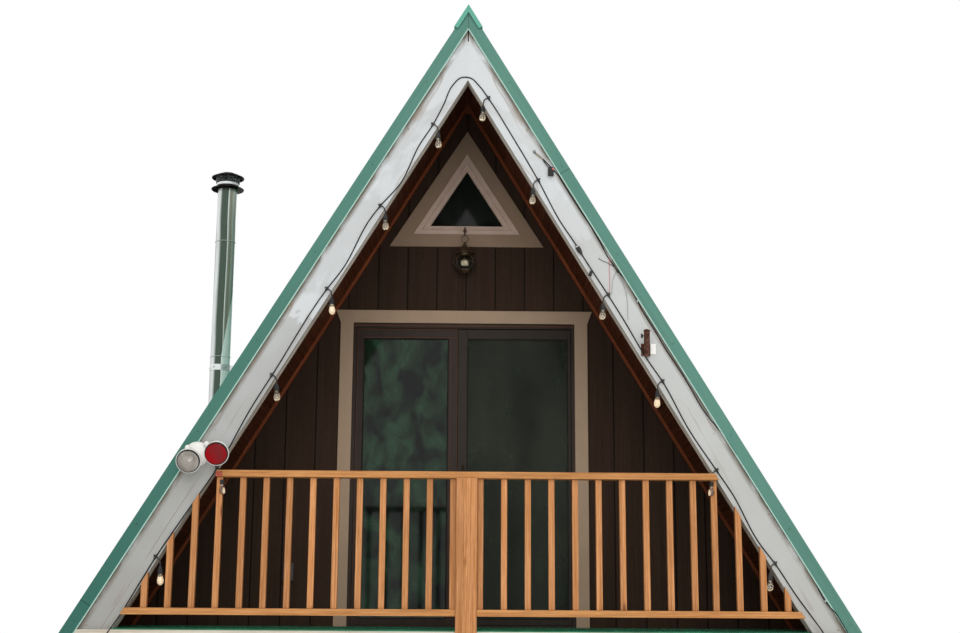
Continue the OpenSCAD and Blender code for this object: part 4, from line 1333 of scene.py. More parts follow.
@dataclass
class Boarding:
    """Grooved plywood walls, tongue and groove roof boards, floors and rafters."""

    groove_pitch: float = 203.2 * MM
    groove_w: float = 9.5 * MM
    groove_deep: float = 6 * MM
    roof_board: float = 133 * MM
    floor_board: float = 140 * MM
    joint_half: float = 1.5 * MM
    board_lengths: tuple[float, float, float] = (1.22, 1.83, 2.44)
    seed: int = 11

    def build(self) -> None:
        """Cut the grooves and dress the timber."""
        self.siding("front_wall", LINES.wall_y, 1)
        self.siding("back_wall", LINES.back_y, -1)
        for side, name in ((-1, "left"), (1, "right")):
            self.roof_boards(side, name)
            node = f"rafters_{name}"
            front, back = LINES.face_y + LINES.end_rafter + 0.01, LINES.end_y - LINES.end_rafter - 0.01
            stand_in(welded(node, low_y=front, high_y=back), f"inner_{node}", ROOF_TIMBER, node)
            stand_in(welded(node, high_y=front), f"front_{node}", END_RAFTER, node)
            stand_in(welded(node, low_y=back), f"back_{node}", END_RAFTER, node)
        self.white_boards()
        dress("soffit_trim", SOFFIT_STRIP)
        for node in ("ground_floor", "upper_floor"):
            self.floor(node)
        dress("foundation", CONCRETE)

    def siding(self, node: str, face: float, inward: int) -> None:
        """Cut upright grooves in one end wall.

        Args:
            node: CAD node of the wall.
            face: y of its outer face.
            inward: 1 where the wall's inside is towards +Y.
        """
        cutters = Solid()
        low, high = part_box(node)
        reach = int(high.x / self.groove_pitch)
        for k in range(-reach, reach + 1):
            x = k * self.groove_pitch
            y0, y1 = sorted((face - inward * PAST, face + inward * self.groove_deep))
            half = self.groove_w / 2
            cutters.block((x - half, y0, low.z - PAST), (x + half, y1, high.z + PAST))
        stand_in(carved(welded(node, whole=False), cutters), f"{node}_siding", SIDING, node)

    def white_boards(self) -> None:
        """Open the front boards' joint near the point, and stop it below."""
        top = LINES.ridge_z - 13 * MM / math.cos(LINES.pitch)
        low = LINES.ridge_z + LINES.inner_n / math.cos(LINES.pitch)
        split_z, half, thick = top - 0.20, 3.5 * MM, 19 * MM
        slot, stop, dark = Solid(), Solid(), Solid()
        slot.block((-half, LINES.face_y - 0.01, split_z), (half, LINES.face_y + thick + 1 * MM, top + 0.02))
        boards = carved(welded("barge_boards"), slot)
        stand_in(boards, "white_boards", FASCIA_PAINT, "barge_boards")
        for face in (LINES.face_y, LINES.end_y - thick):
            stop.block((-0.99 * MM, face + 0.3 * MM, low), (0.99 * MM, face + thick - 1 * MM, split_z))
        back = LINES.face_y + thick - 1 * MM
        dark.block((-half, LINES.face_y + 12 * MM, split_z), (half, back, top - 5 * MM))
        show(stop, "joint_filler", FASCIA_PAINT, "barge_boards")
        show(dark, "joint_shade", DARK_RUBBER, "barge_boards")

    def roof_boards(self, side: int, name: str) -> None:
        """Cut the joints between the roof boards on their underside.

        Args:
            side: 1 for the right slope, -1 for the left.
            name: Word for the side in the names of pieces.
        """
        low = LINES.down_to(0.1, LINES.soffit_n)
        lines, butts = Solid(), Solid()
        rng = random.Random(self.seed + side)
        under, deep = LINES.soffit_n - 1 * MM, LINES.soffit_n + 4 * MM
        run = Vector((0, LINES.end_y - LINES.face_y + 0.1, 0))
        for k in range(1, int(low / self.roof_board)):
            down = k * self.roof_board
            notch = (down - 4 * MM, under), (down + 4 * MM, under), (down, deep)
            lines.prism([LINES.on_slope(side, d, LINES.face_y - 0.05, n) for d, n in notch], run)
            y = LINES.face_y + rng.uniform(0.2, 1.3)
            while y < LINES.end_y - 0.2:
                corner = Matrix.Translation(LINES.on_slope(side, down, y, 0)) @ LINES.slope_turn(side)
                far = (self.roof_board - 5 * MM, self.joint_half, deep - 1 * MM)
                butts.block((5 * MM, -self.joint_half, under), far, corner)
                y += rng.choice(self.board_lengths)
        node = f"roof_boards_{name}"
        made = carved(carved(welded(node), lines), butts)
        stand_in(made, f"soffit_boards_{name}", SOFFIT_BOARD, node)

    def floor(self, node: str) -> None:
        """Cut the joints between the floor boards on their upper side.

        Args:
            node: CAD node of the floor.
        """
        cutters = Solid()
        low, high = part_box(node)
        reach = int(high.x / self.floor_board)
        for k in range(-reach, reach + 1):
            x = k * self.floor_board
            near = (x - self.joint_half, low.y - PAST, high.z - 3 * MM)
            cutters.block(near, (x + self.joint_half, high.y + PAST, high.z + 5 * MM))
        stand_in(carved(welded(node), cutters), f"{node}_boards", FLOORING, node)


@dataclass
class Balcony:
    """Balcony floor with its turf, and the cedar railing."""

    board: float = 139.5 * MM
    gap: float = 5 * MM
    blades: int = 26000
    edge_share: float = 1 / 8  # blades along the front edge
    edge_deep: float = 30 * MM
    blade_h: float = 8 * MM
    blade_half: float = 2.2 * MM
    blade_lean: float = 4 * MM
    post_foot: tuple[float, float] = mm(-50, 80)
    rail_z: float = 0.900
    rail_short: float = 20 * MM
    seed: int = 7

    def build(self) -> None:
        """Build the deck boards, turf and railing."""
        dress("deck_joists", JOIST)
        self.boards()
        self.turf()
        stand_in(eased(welded("rim_board"), 2 * MM), "weathered_rim_board", RIM_BOARD, "rim_board")
        for node, finish in (
            ("top_rail", CEDAR_RAIL),
            ("bottom_rails", CEDAR_RAIL),
            ("balusters", CEDAR_UPRIGHT),
            ("centre_post", CEDAR_UPRIGHT),
        ):
            mesh = welded(node)
            if node == "top_rail":
                z = LINES.deck_z + self.rail_z
                x = -LINES.half_width(LINES.inner_n, z)
                end, y = Solid(), LINES.face_y
                end.block((x - 0.2, y - 0.2, z - 0.1), (x + self.rail_short, y + 0.2, z + 0.1))
                mesh = carved(mesh, end)
            stand_in(eased(mesh, 2.5 * MM, 2), f"cedar_{node}", finish, node)
        self.rail_end()

    def boards(self) -> None:
        """Part the balcony floor into boards that run across the joists."""
        cutters = Solid()
        low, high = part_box("deck_boards")
        y = low.y + self.board
        while y < high.y:
            cutters.block((low.x - PAST, y, low.z - PAST), (high.x + PAST, y + self.gap, high.z + PAST))
            y += self.board + self.gap
        stand_in(carved(welded("deck_boards"), cutters), "deck_planks", DECKING, "deck_boards")

    def turf(self) -> None:
        """Backing of the turf with short leaning blades on it, thickest along the front edge."""
        dress("turf", TURF_PILE)
        low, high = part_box("turf")
        rng = random.Random(self.seed)
        end_rafter = LINES.face_y + LINES.end_rafter
        neck = LINES.half_width(LINES.inner_n, high.z) - 12 * MM
        wide = high.x - 8 * MM
        made = Solid()
        for i in range(self.blades):
            front = i < self.blades * self.edge_share
            y = low.y + 3 * MM + rng.random() * (self.edge_deep if front else high.y - low.y - 10 * MM)
            half = neck if y < end_rafter + 8 * MM else wide
            x = rng.uniform(-half, half)
            if y < LINES.face_y + 25 * MM and self.post_foot[0] < x < self.post_foot[1]:
                continue
            a = rng.uniform(0, math.tau)
            lean = around(1.0, a + 1.3) * rng.uniform(0, self.blade_lean)
            wide_way = around(self.blade_half, a)
            root = Vector((x, y, high.z - 1 * MM))
            tip = root + lean + Vector((0, 0, self.blade_h * rng.uniform(0.6, 1.0)))
            tip.y = max(tip.y, low.y)
            made.add([root - wide_way, root + wide_way, tip], [(0, 1, 2)])
        show(made, "turf_blades", TURF_PILE, "turf")

    def rail_end(self) -> None:
        """Raw offcut that packs out the left end of the top rail."""
        made = Solid()
        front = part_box("top_rail")[0].y
        z = LINES.deck_z + self.rail_z
        x = -LINES.half_width(LINES.inner_n, z)
        made.block(
            (x + 16 * MM, front - 4 * MM, z - 38 * MM), (x + 54 * MM, front + 40 * MM, z - 9 * MM),
            chamfer=2 * MM
        )
        show(made, "rail_end_block", BLOCK_PAINT, "top_rail")


@dataclass
class SlidingDoor:
    """Sliding door of one storey: fixed leaf on the left, sliding leaf with an insect screen on the right."""

    sill_z: float
    storey: str
    middle_x: float = -12 * MM
    half_w: float = 762 * MM
    jamb: float = 24 * MM
    left_glass: tuple[float, float] = mm(-701, -117)
    right_glass: tuple[float, float] = mm(14, 704)
    meeting_x: float = -52 * MM
    glass_z: tuple[float, float] = mm(60, 1955)
    height: float = 2059 * MM
    screen_bow: float = 3 * MM

    def build(self) -> None:
        """Build the parts that the CAD frame leaves to this file."""
        self.screen()
        self.gaskets()
        self.tracks()
        self.pull()

    def bars(
        self, made: Solid, outer: Sequence[float], inner: Sequence[float], y: Sequence[float], soft: float
    ) -> None:
        """Add the four bars between two rectangles, each told by its left, right, bottom and top.

        Args:
            made: Mesh that takes them.
            outer: Outer rectangle.
            inner: Inner rectangle.
            y: Front and back of the bars.
            soft: Width taken off each edge.
        """
        (x0, x1, z0, z1), (left, right, low, high) = outer, inner
        upright = (x0, left, z0, z1), (right, x1, z0, z1)
        lying = (left, right, z0, low), (left, right, high, z1)
        for a, b, c, d in (*upright, *lying):
            made.block((a, y[0], c), (b, y[1], d), chamfer=soft)

    def lining(self, made: Solid, x: Sequence[float], y: Sequence[float], width: float) -> None:
        """Add thin bars just inside a pane's opening.

        Args:
            made: Mesh that takes them.
            x: Left and right of the opening.
            y: Front and back of the bars.
            width: Width of the bars.
        """
        z0, z1 = (self.sill_z + z for z in self.glass_z)
        self.bars(made, (*x, z0, z1), (x[0] + width, x[1] - width, z0 + width, z1 - width), y, 1 * MM)

    def screen(self) -> None:
        """Insect screen: a frame of four roll-formed bars, the cloth, and the spline that holds it."""
        frame_bars, spline, cloth = Solid(), Solid(), Solid()
        y = LINES.wall_y
        left, right = self.meeting_x + 1 * MM, self.middle_x + self.half_w - self.jamb - 1 * MM
        low, high = self.sill_z + 21 * MM, self.sill_z + self.height - 36 * MM
        g0, g1 = self.right_glass
        z0, z1 = (self.sill_z + z for z in self.glass_z)
        self.bars(frame_bars, (left, right, low, high), (g0, g1, z0, z1), (y + 12 * MM, y + 30 * MM), 2 * MM)
        stand_in(frame_bars, f"screen_frame_{self.storey}", SCREEN_EXTRUSION, "door_screen")

        def bowed(u: float, v: float) -> Vector:
            """Point of the cloth, which bows a little between its edges."""
            sag = self.screen_bow * math.sin(math.pi * u) * math.sin(math.pi * v)
            return Vector((g0 + (g1 - g0) * u, y + 20 * MM + sag, z0 + (z1 - z0) * v))

        cloth.grid(14, 38, bowed)
        piece = stand_in(cloth, f"screen_cloth_{self.storey}", SCREEN_MESH, "door_screen")
        self.lining(spline, self.right_glass, (y + 16 * MM, y + 19 * MM), 5 * MM)
        show(spline, f"screen_spline_{self.storey}", DARK_RUBBER, "door_screen")

    def gaskets(self) -> None:
        """Rubber gaskets round the two panes."""
        made = Solid()
        y = LINES.wall_y
        self.lining(made, self.left_glass, (y + 20 * MM, y + 26 * MM), 7 * MM)
        shift = self.meeting_x - self.left_glass[1] - 4 * MM
        back = (self.right_glass[0] - shift, self.right_glass[1])
        self.lining(made, back, (y + 58 * MM, y + 66 * MM), 7 * MM)
        show(made, f"door_gaskets_{self.storey}", DARK_RUBBER, "door_frame")

    def tracks(self) -> None:
        """Ribs of the head and sill tracks in front of the leaves, and the rubbed edges of the extrusions."""
        ribs, edges = Solid(), Solid()
        y = LINES.wall_y
        x0, x1 = self.middle_x - self.half_w + 4 * MM, self.middle_x + self.half_w - 4 * MM
        for z, drop in ((self.height - 12 * MM, 5 * MM), (self.height - 26 * MM, 4 * MM), mm(8, 4)):
            base = self.sill_z + z
            ribs.block((x0, y - 9 * MM, base), (x1, y - 5 * MM, base + drop), chamfer=0.8 * MM)
        head = self.sill_z + self.height
        edges.block((x0, y - 7 * MM, head - 22 * MM), (x1, y - 5 * MM, head - 10 * MM), chamfer=0.5 * MM)
        edges.block(
            (x0 + 20 * MM, y + 10 * MM, head - 42 * MM), (self.meeting_x, y + 12 * MM, head - 36 * MM)
        )
        edges.block(
            (self.left_glass[0], y + 10 * MM, head - 101 * MM), (self.meeting_x, y + 12 * MM, head - 95 * MM)
        )
        low = self.sill_z + 25 * MM
        for x in (self.left_glass[0] - 44 * MM, self.left_glass[1] + 12 * MM, self.meeting_x - 6 * MM):
            edges.block((x, y + 10 * MM, low), (x + 4 * MM, y + 12 * MM, head - 40 * MM), chamfer=0.5 * MM)
        show(ribs, f"door_tracks_{self.storey}", DARK_EXTRUSION, "door_frame")
        show(edges, f"rubbed_edges_{self.storey}", RUBBED_EDGE, "door_frame")

    def pull(self) -> None:
        """Slim pull on the screen's leading bar, with its two feet."""
        made = Solid()
        y = LINES.wall_y + 12 * MM
        x = self.right_glass[0] - 26 * MM
        z = self.sill_z + 0.93
        made.block((x - 9 * MM, y - 4 * MM, z), (x + 9 * MM, y, z + 0.17), chamfer=1.5 * MM)
        bends = mm((3, 20), (22, 30), (26, 50), (26, 120), (22, 140), (3, 150))
        grip = [Vector((x, y - r, z + h)) for r, h in bends]
        made.tube(smooth_path(grip, 8 * MM), 5 * MM, 10)
        show(made, f"screen_pull_{self.storey}", DARK_EXTRUSION, "door_screen")


@dataclass
class Openings:
    """Trim, frames and panes of the doors and windows, and the curtain."""

    curtain_w: float = 0.70
    curtain_x: float = 0.02
    curtain_fold: float = 21 * MM
    curtain_top: float = 0.03  # below the top of the CAD sheet
    curtain_short: float = 0.04  # less than the CAD sheet's height
    folds: int = 9
    rod_r: float = 6 * MM
    rod_drop: float = 0.02
    rod_over: float = 0.03

    def build(self) -> None:
        """Dress the frames, ease their edges, and hang the curtain."""
        for node, name, soft, finish in (
            ("door_trim", "door_trim_boards", 1.5, TAUPE_TRIM),
            ("window_trim", "window_trim_boards", 1.5, SHADED_TRIM),
            ("window_frame", "window_frame_bars", 1.5, FADED_FRAME),
            ("door_frame", "door_frame_bars", 1.2, DARK_EXTRUSION),
            ("door_panel", "door_leaf_bars", 1.2, DARK_EXTRUSION),
        ):
            stand_in(eased(welded(node), soft * MM), name, finish, node)
        dress("door_glass", DOOR_PANE)
        dress("window_glass", GABLE_PANE)
        for sill, storey in ((LINES.deck_z, "upper"), (LINES.floor_z, "lower")):
            SlidingDoor(sill, storey).build()
        self.curtain()

    def curtain(self) -> None:
        """Curtain behind the upper sliding leaf, hung from a thin rod in even folds."""
        low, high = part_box("curtain")
        middle_y, rod_z = (low.y + high.y) / 2, high.z - self.rod_drop
        columns, rows = self.folds * 16, 24
        tall = high.z - low.z - self.curtain_short

        def folded(u: float, up: float) -> Vector:
            """Point of the cloth: its folds deepen and wander towards the hem.

            Args:
                u: Share of the way across.
                up: Share of the way up.

            Returns:
                The point.
            """
            turn, v = math.tau * self.folds * u, 1 - up
            depth = self.curtain_fold * (0.55 + 0.45 * v)
            wander = 6 * MM * math.sin(1.7 * turn / self.folds + 2.0 * v)
            x = self.curtain_x + self.curtain_w * u + 4 * MM * math.sin(2 * turn) * v
            y = middle_y + depth * math.sin(turn) * 0.9 + wander * v
            return Vector((x, min(max(y, low.y), high.y), high.z - self.curtain_top - tall * v))

        cloth, rod = Solid(), Solid()
        cloth.grid(columns, rows, folded)
        piece = stand_in(cloth, "hung_curtain", CURTAIN_CLOTH, "curtain")
        start = rows // 2 * (columns + 1)
        middle = cloth.points[start : start + columns + 1]
        left, right = self.curtain_x - self.rod_over, self.curtain_x + self.curtain_w
        ends = [Vector((x, middle_y, rod_z)) for x in (left, right)]
        rod.tube(ends, self.rod_r, 12)
        for x in (ends[0].x + 0.02, ends[1].x - 0.02):
            rod.tube([Vector((x, middle_y, rod_z)), Vector((x, LINES.wall_y + 0.12, rod_z))], 4 * MM, 8)
        show(rod, "curtain_rod", DARK_EXTRUSION, "curtain")
        path_length(middle)


@dataclass
class Lantern:
    """Onion lantern under the gable window: bronze cage, blown globe and a pale lamp inside."""

    lamp_r: float = 26 * MM
    lamp_h: float = 14 * MM

    def build(self) -> None:
        """Dress the cage and globe, and put the lamp in."""
        dress("lantern_frame", BRONZED_IRON)
        dress("lantern_globe", GLOBE_GLASS)
        low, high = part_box("lantern_globe")
        turn = Matrix.Translation((low + high) / 2)
        lamp, rim, holder = Solid(), Solid(), Solid()
        r, h = self.lamp_r, self.lamp_h
        lamp.lathe([(0, -h), (0.8 * r, -h), (r, -0.6 * h), (r, 0.6 * h), (0.85 * r, h), (0, h)], turn, 24)
        top = h + 7 * MM
        rim.lathe([(0, h + 1 * MM), (r, h + 1 * MM), (r, h + 4 * MM), (0.5 * r, top), (0, top)], turn, 24)
        holder.lathe(
            [(0, h + 7.5 * MM), (12 * MM, h + 7.5 * MM), mm(15, 28), mm(15, 48), mm(9, 58),
             mm(9, 90), mm(0, 90)],
            turn, 24,
        )
        show(lamp, "lantern_lamp", FROSTED, "lantern_globe")
        show(rim, "lantern_lamp_rim", AMBER, "lantern_globe")
        show(holder, "lantern_lampholder", BRONZED_IRON, "lantern_frame")


@dataclass
class Flue:
    """Stainless flue with its cap, brace and flashing."""

    pipe_r: float = 74 * MM
    drum_r: float = 91 * MM
    mesh_low: float = 44 * MM  # above the pipe's end
    mesh_high: float = 102 * MM
    strands: int = 44
    band_r: float = 87 * MM

    def build(self) -> None:
        """Dress the steel, and add the spark mesh, the cap's band, beads round the pipe's joints and the
        clamp's screws.
        """
        dress("flue_pipe", PIPE_STEEL_PAINTED_REFLECTIONS)
        dress("flue_cap", SMOKED_CAP)
        dress("flue_brace", BAND_STEEL)
        dress("flue_flashing", GALVANISED)
        low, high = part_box("flue_pipe")
        axis = Vector(((low.x + high.x) / 2, (low.y + high.y) / 2, high.z))
        wires, band, beads, screws = Solid(), Solid(), Solid(), Solid()
        for way in (-1, 1):
            for k in range(self.strands):
                turns = [(k + way * 2.2 * t / 6) / self.strands for t in range(7)]
                heights = [self.mesh_low + (self.mesh_high - self.mesh_low) * t / 6 for t in range(7)]
                strand = [axis + around(self.drum_r, math.tau * a, z) for a, z in zip(turns, heights)]
                wires.tube(strand, 0.9 * MM, 4)
        show(wires, "spark_mesh", GALVANISED, "flue_cap")
        r = self.band_r
        band.lathe(
            [(r - 3 * MM, 20 * MM), (r, 21 * MM), (r, 40 * MM), (r - 3 * MM, 41 * MM)],
            Matrix.Translation(axis), 64
        )
        show(band, "cap_band", BAND_STEEL, "flue_cap")
        for z in mm(2002, 2911):
            r = self.pipe_r + 3.6 * MM
            foot = Vector((axis.x, axis.y, LINES.deck_z + z))
            ring = [foot + around(r, math.tau * k / 48) for k in range(48)]
            beads.tube(ring, 1.5 * MM, 6, closed=True)
        show(beads, "joint_beads", BAND_STEEL, "flue_pipe")
        pan = hex_screw(4 * MM, 5 * MM)
        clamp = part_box("flue_brace")
        for k in range(5):
            a = math.tau * k / 5 + 0.5
            way = around(1.0, a)
            spot = Vector((axis.x, axis.y, clamp[0].z + 22 * MM)) + way * (self.pipe_r + 4 * MM)
            screws.stamp(pan, [facing(way, spot)])
        show(screws, "clamp_screws", SCREW_ZINC, "flue_brace")


@dataclass
class FloodLamps:
    """Twin flood lamps on a round canopy: one clear, one red."""

    tilt: float = math.radians(20)
    lens_y: float = -164 * MM
    centres: tuple[tuple[float, float], ...] = mm((-1570, 935), (-1413, 979))
    ring_r: float = 64 * MM
    lens_r: float = 60.5 * MM

    def build(self) -> None:
        """Build both lamps over their CAD solids, and dress the holder."""
        dress("flood_holder", WHITE_ENAMEL)
        for (x, z), colour, lens in zip(self.centres, ("clear", "red"), (CLEAR_LENS_WITH_GLARE, RED_LENS)):
            place = Matrix.Translation((x, LINES.face_y + self.lens_y, LINES.deck_z + z))
            turn = place @ Matrix.Rotation(math.pi / 2 + self.tilt, 4, "X")
            self.lamp(turn, colour, lens)

    def lamp(self, turn: Matrix, colour: str, lens: Finish) -> None:
        """Build one pressed-glass lamp in its dark ring.

        Args:
            turn: Matrix whose z runs out through the lens.
            colour: Word for the lamp's name.
            lens: Finish of the lens.
        """
        front, ring, back = Solid(), Solid(), Solid()
        r = self.lens_r
        rise = [(4.6 - 3.6 * (k / 9) ** 2 + (0.9 if k % 2 else 0.0)) * MM for k in range(9)]
        flutes = [(r * k / 9, rise[k]) for k in range(8, -1, -1)]
        front.lathe([(r - 7 * MM, -9 * MM), (r, -9 * MM), (r, 0.2 * MM), *flutes], turn, 48)
        rim = self.ring_r
        ring.lathe(
            [(rim - 3.2 * MM, -13 * MM), (rim - 1 * MM, -13 * MM), (rim, -9 * MM), (rim, -0.4 * MM),
             (rim - 1.2 * MM, 0.6 * MM), (rim - 2.4 * MM, 1.1 * MM), (rim - 3.2 * MM, 0.4 * MM)],
            turn, 48,
        )
        back.lathe(
            [(rim - 2 * MM, -12.5 * MM), (rim - 6 * MM, -18 * MM), mm(44, -54), mm(24, -82),
             mm(16, -92), mm(14, -127), mm(0, -127.5)],
            turn, 48,
        )
        stand_in(front, f"flood_lens_{colour}", lens, "flood_lamps")
        stand_in(ring, f"flood_ring_{colour}", DARK_RUBBER, "flood_lamps")
        mirror = REFLECTOR if colour == "clear" else RED_LENS
        stand_in(back, f"flood_reflector_{colour}", mirror, "flood_lamps")


@dataclass
class Fittings:
    """Flagpole socket and outlet box."""

    plate_x: tuple[float, float] = mm(1089, 1123)
    plate_z: tuple[float, float] = mm(1604, 1666)
    screw_at: tuple[float, float, float] = mm(1048, -92, 1697)
    plate_screws: tuple[tuple[float, float], ...] = mm((1044, 1661), (1083, 1600))

    def build(self) -> None:
        """Dress the flag socket, ease the outlet box, and add the socket's plate, wing screw and screws, and
        the box's screws.
        """
        dress("flag_holder", RUSTED_STEEL)
        plate, knob, rust = Solid(), Solid(), Solid()
        (x0, x1), (z0, z1) = self.plate_x, self.plate_z
        face, up = LINES.face_y, LINES.deck_z
        plate.block(
            (x0 + 1 * MM, face - 5.8 * MM, up + z0 - 0.5 * MM), (x1 + 0.5 * MM, face, up + z1 + 0.5 * MM),
            chamfer=1 * MM
        )
        show(plate, "socket_plate", WHITE_ENAMEL, "flag_holder")
        x, y, z = self.screw_at
        place = Matrix.Translation((x, face + y, up + z)) @ Matrix.Rotation(-math.pi / 2, 4, "Y")
        knob.lathe(mm((0, 3), (4, 3), (4, 11), (6.6, 12), (6.6, 22.3), (0, 22.6)), place, 20)
        knob.block(*mm((-13, -2.6, 12.5), (13, 2.6, 23.5)), place, 1.2 * MM)
        show(knob, "wing_screw", BLACK_SOCKET, "flag_holder")
        pan = hex_screw(3 * MM, 5 * MM)
        rust.stamp(pan, [facing((0, -1, 0), (x, face - 3 * MM, up + z)) for x, z in self.plate_screws])
        show(rust, "plate_screws", SCREW_RUST, "flag_holder")
        stand_in(eased(welded("outlet_box"), 2.5 * MM, 2), "outlet_housing", SLATE_PLASTIC, "outlet_box")
        low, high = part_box("outlet_box")
        made, pan = Solid(), hex_screw(2.2 * MM, 3.5 * MM)
        for z in (low.z + 16 * MM, high.z - 16 * MM):
            made.stamp(pan, [facing((0, -1, 0), ((low.x + high.x) / 2, low.y, z))])
        show(made, "outlet_screws", SCREW_ZINC, "outlet_box")


@dataclass
class StringLights:
    """Festoon lights along the white boards: lead, sockets, bulbs and the feed that joins them.

    Routes are told by x and height above the balcony, and where they leave the boards by y, in millimetres.
    """

    lead_d: float = 7 * MM
    wire_r: float = 1.6 * MM
    bend_step: float = 18 * MM
    lean: float = math.radians(3)
    light_y: float = -19 * MM
    drop: tuple[float, float] = mm(32, 56)
    lit: tuple[int, ...] = (0, 1, 3, 9, 10)
    junctions: tuple[tuple[float, float], ...] = (
        (-1758, 405), (-1431, 914), (-1134, 1460), (-827, 1981), (-521, 2496), (-211, 3013),
        (126, 3186), (430, 2665), (844, 1960), (1158, 1442), (1462, 922), (1783, 391),
    )
    route: tuple[tuple[float, ...], ...] = (
        (-2052, -100, -45), (-1994, -8, -38), (-1958, 52, -18), (-1838, 266), (-1758, 405), (-1608, 640),
        (-1431, 914), (-1234, 1292), (-1134, 1460), (-827, 1981), (-740, 2100), (-575, 2422),
        (-521, 2496), (-406, 2633), (-290, 2885), (-211, 3013), (-145, 3148), (-96, 3264), (-39, 3319),
        (15, 3316), (70, 3265), (126, 3186), (270, 2948), (430, 2665), (563, 2408), (650, 2271, -14),
        (692, 2200, -14), (844, 1960), (932, 1815), (1066, 1580), (1158, 1442), (1311, 1152), (1462, 922),
        (1549, 790), (1694, 511), (1783, 391), (1900, 210), (1987, 84, -18), (2033, 10, -40),
        (2082, -100, -45),
    )
    feed: tuple[tuple[float, ...], ...] = (
        (406, 2841, -8), (434, 2821, -8), (462, 2796, -8), (494, 2763, -6), (529, 2725), (549, 2701),
        (589, 2635), (628, 2569), (683, 2480), (738, 2394), (795, 2292), (851, 2184), (878, 2144),
        (900, 2111), (945, 2060, -3.4), (992, 1980, -3.4), (1019, 1924), (1046, 1868), (1080, 1810),
        (1111, 1760), (1156, 1678), (1190, 1620), (1234, 1552), (1305, 1436), (1341, 1369), (1383, 1293),
        (1438, 1215), (1492, 1150, -3.4), (1642, 900, -3.4), (1822, 600, -3.4), (2003, 300, -3.4),
        (2061, 184, -8), (2084, 150, -19), (2114, 118, -20), (2140, 76, -21), (2156, 44, -31),
        (2170, 14, -42), (2183, -24, -43), (2186, -62, -43), (2180, -92, -40),
    )
    thin_wires: tuple[tuple[tuple[float, ...], ...], ...] = (
        ((856, 2186, -8), (853, 2143), (855, 2051), (853, 1990), (843, 1953, -9)),
        ((893, 2100, -6), (877, 2063), (870, 2026), (867, 1984), (855, 1956, -9)),
        ((908, 2088, -6), (931, 2039), (947, 1990), (956, 1942), (959, 1893), (960, 1808)),
        ((789, 2185), (810, 2170), (837, 2159), (860, 2146), (884, 2134), (900, 2112, -8)),
    )

    def at(self, point: Sequence[float]) -> Vector:
        """Point of a route in the scene, on the boards' face unless the point tells its own depth."""
        y = point[2] if len(point) > 2 else -self.lead_d / MM / 2 - 1
        return Vector((point[0] * MM, LINES.face_y + y * MM, LINES.deck_z + point[1] * MM))

    def turns(self, chosen: Sequence[int] = range(12)) -> list[Matrix]:
        """Place the lights, with each origin at the socket's top and z up the light's own axis.

        Args:
            chosen: Numbers of the lights.

        Returns:
            A matrix for each.
        """
        made = []
        for x, z in (self.junctions[i] for i in chosen):
            side = 1 if x < 0 else -1
            x, z = x * MM + side * self.drop[0], LINES.deck_z + z * MM - self.drop[1]
            place = (x, LINES.face_y + self.light_y, z)
            made.append(Matrix.Translation(place) @ Matrix.Rotation(-side * self.lean, 4, "Y"))
        return made

    def build(self) -> None:
        """Build the leads as cords, and dress and detail the lights."""
        self.leads(self.sockets())
        self.connectors()
        self.bulbs()

    def leads(self, on_string: list[bpy.types.Object]) -> None:
        """Lay the string's own lead and its feed, and the thin wires clipped beside them.

        Args:
            on_string: Pieces that sit on the string's lead.
        """
        for name, route, diameter, far_end, on_it in (
            ("string_lead", self.route, self.lead_d, "fitting", on_string),
            ("feed_lead", self.feed, self.lead_d - 1 * MM, "object", []),
        ):
            path = smooth_path([self.at(p) for p in route], self.bend_step)
            made = Solid()
            made.tube(path, diameter / 2, 8)
            piece = stand_in(made, name, BLACK_LEAD, "light_lead")
            tuple(path[0])
            path_length(path)
            [tuple(p) for p in path]
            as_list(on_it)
        for wire, finish in zip(self.thin_wires, (RED_WIRE, GREY_WIRE, GREY_WIRE, BLACK_LEAD)):
            made = Solid()
            made.tube(smooth_path([self.at(p) for p in wire], self.bend_step), self.wire_r, 6)
            name = f"thin_wire_{round(wire[0][0])}"
            show(made, name, finish, "light_lead")

    def sockets(self) -> list[bpy.types.Object]:
        """Build the ridges on the sockets, and the tabs that clip them to the lead.

        Returns:
            The pieces that sit on the lead.
        """
        dress("light_sockets", BLACK_SOCKET)
        collar, tab, ridges, tabs = Solid(), Solid(), Solid(), Solid()
        r = 14 * MM
        for z in range(-36, -14, 5):
            collar.lathe(
                [(r - 2 * MM, (z - 2) * MM), (r + 1.2 * MM, (z - 1) * MM), (r + 1.2 * MM, (z + 1) * MM),
                 (r - 2 * MM, (z + 2) * MM)],
                Matrix(), 24,
            )
        tab.block(*mm((-5, -2.5, 0), (5, 2.5, 15)), chamfer=1 * MM)
        ridges.stamp(collar, self.turns())
        for x, z in self.junctions:
            side = 1 if x < 0 else -1
            tilt = Matrix.Rotation(-side * math.radians(40), 4, "Y")
            tabs.stamp(tab, [Matrix.Translation(self.at((x, z, -10))) @ tilt])
        return [
            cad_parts["light_sockets"],
            show(ridges, "socket_ridges", BLACK_SOCKET, "light_sockets"),
            show(tabs, "lead_tabs", BLACK_SOCKET, "light_sockets"),
        ]

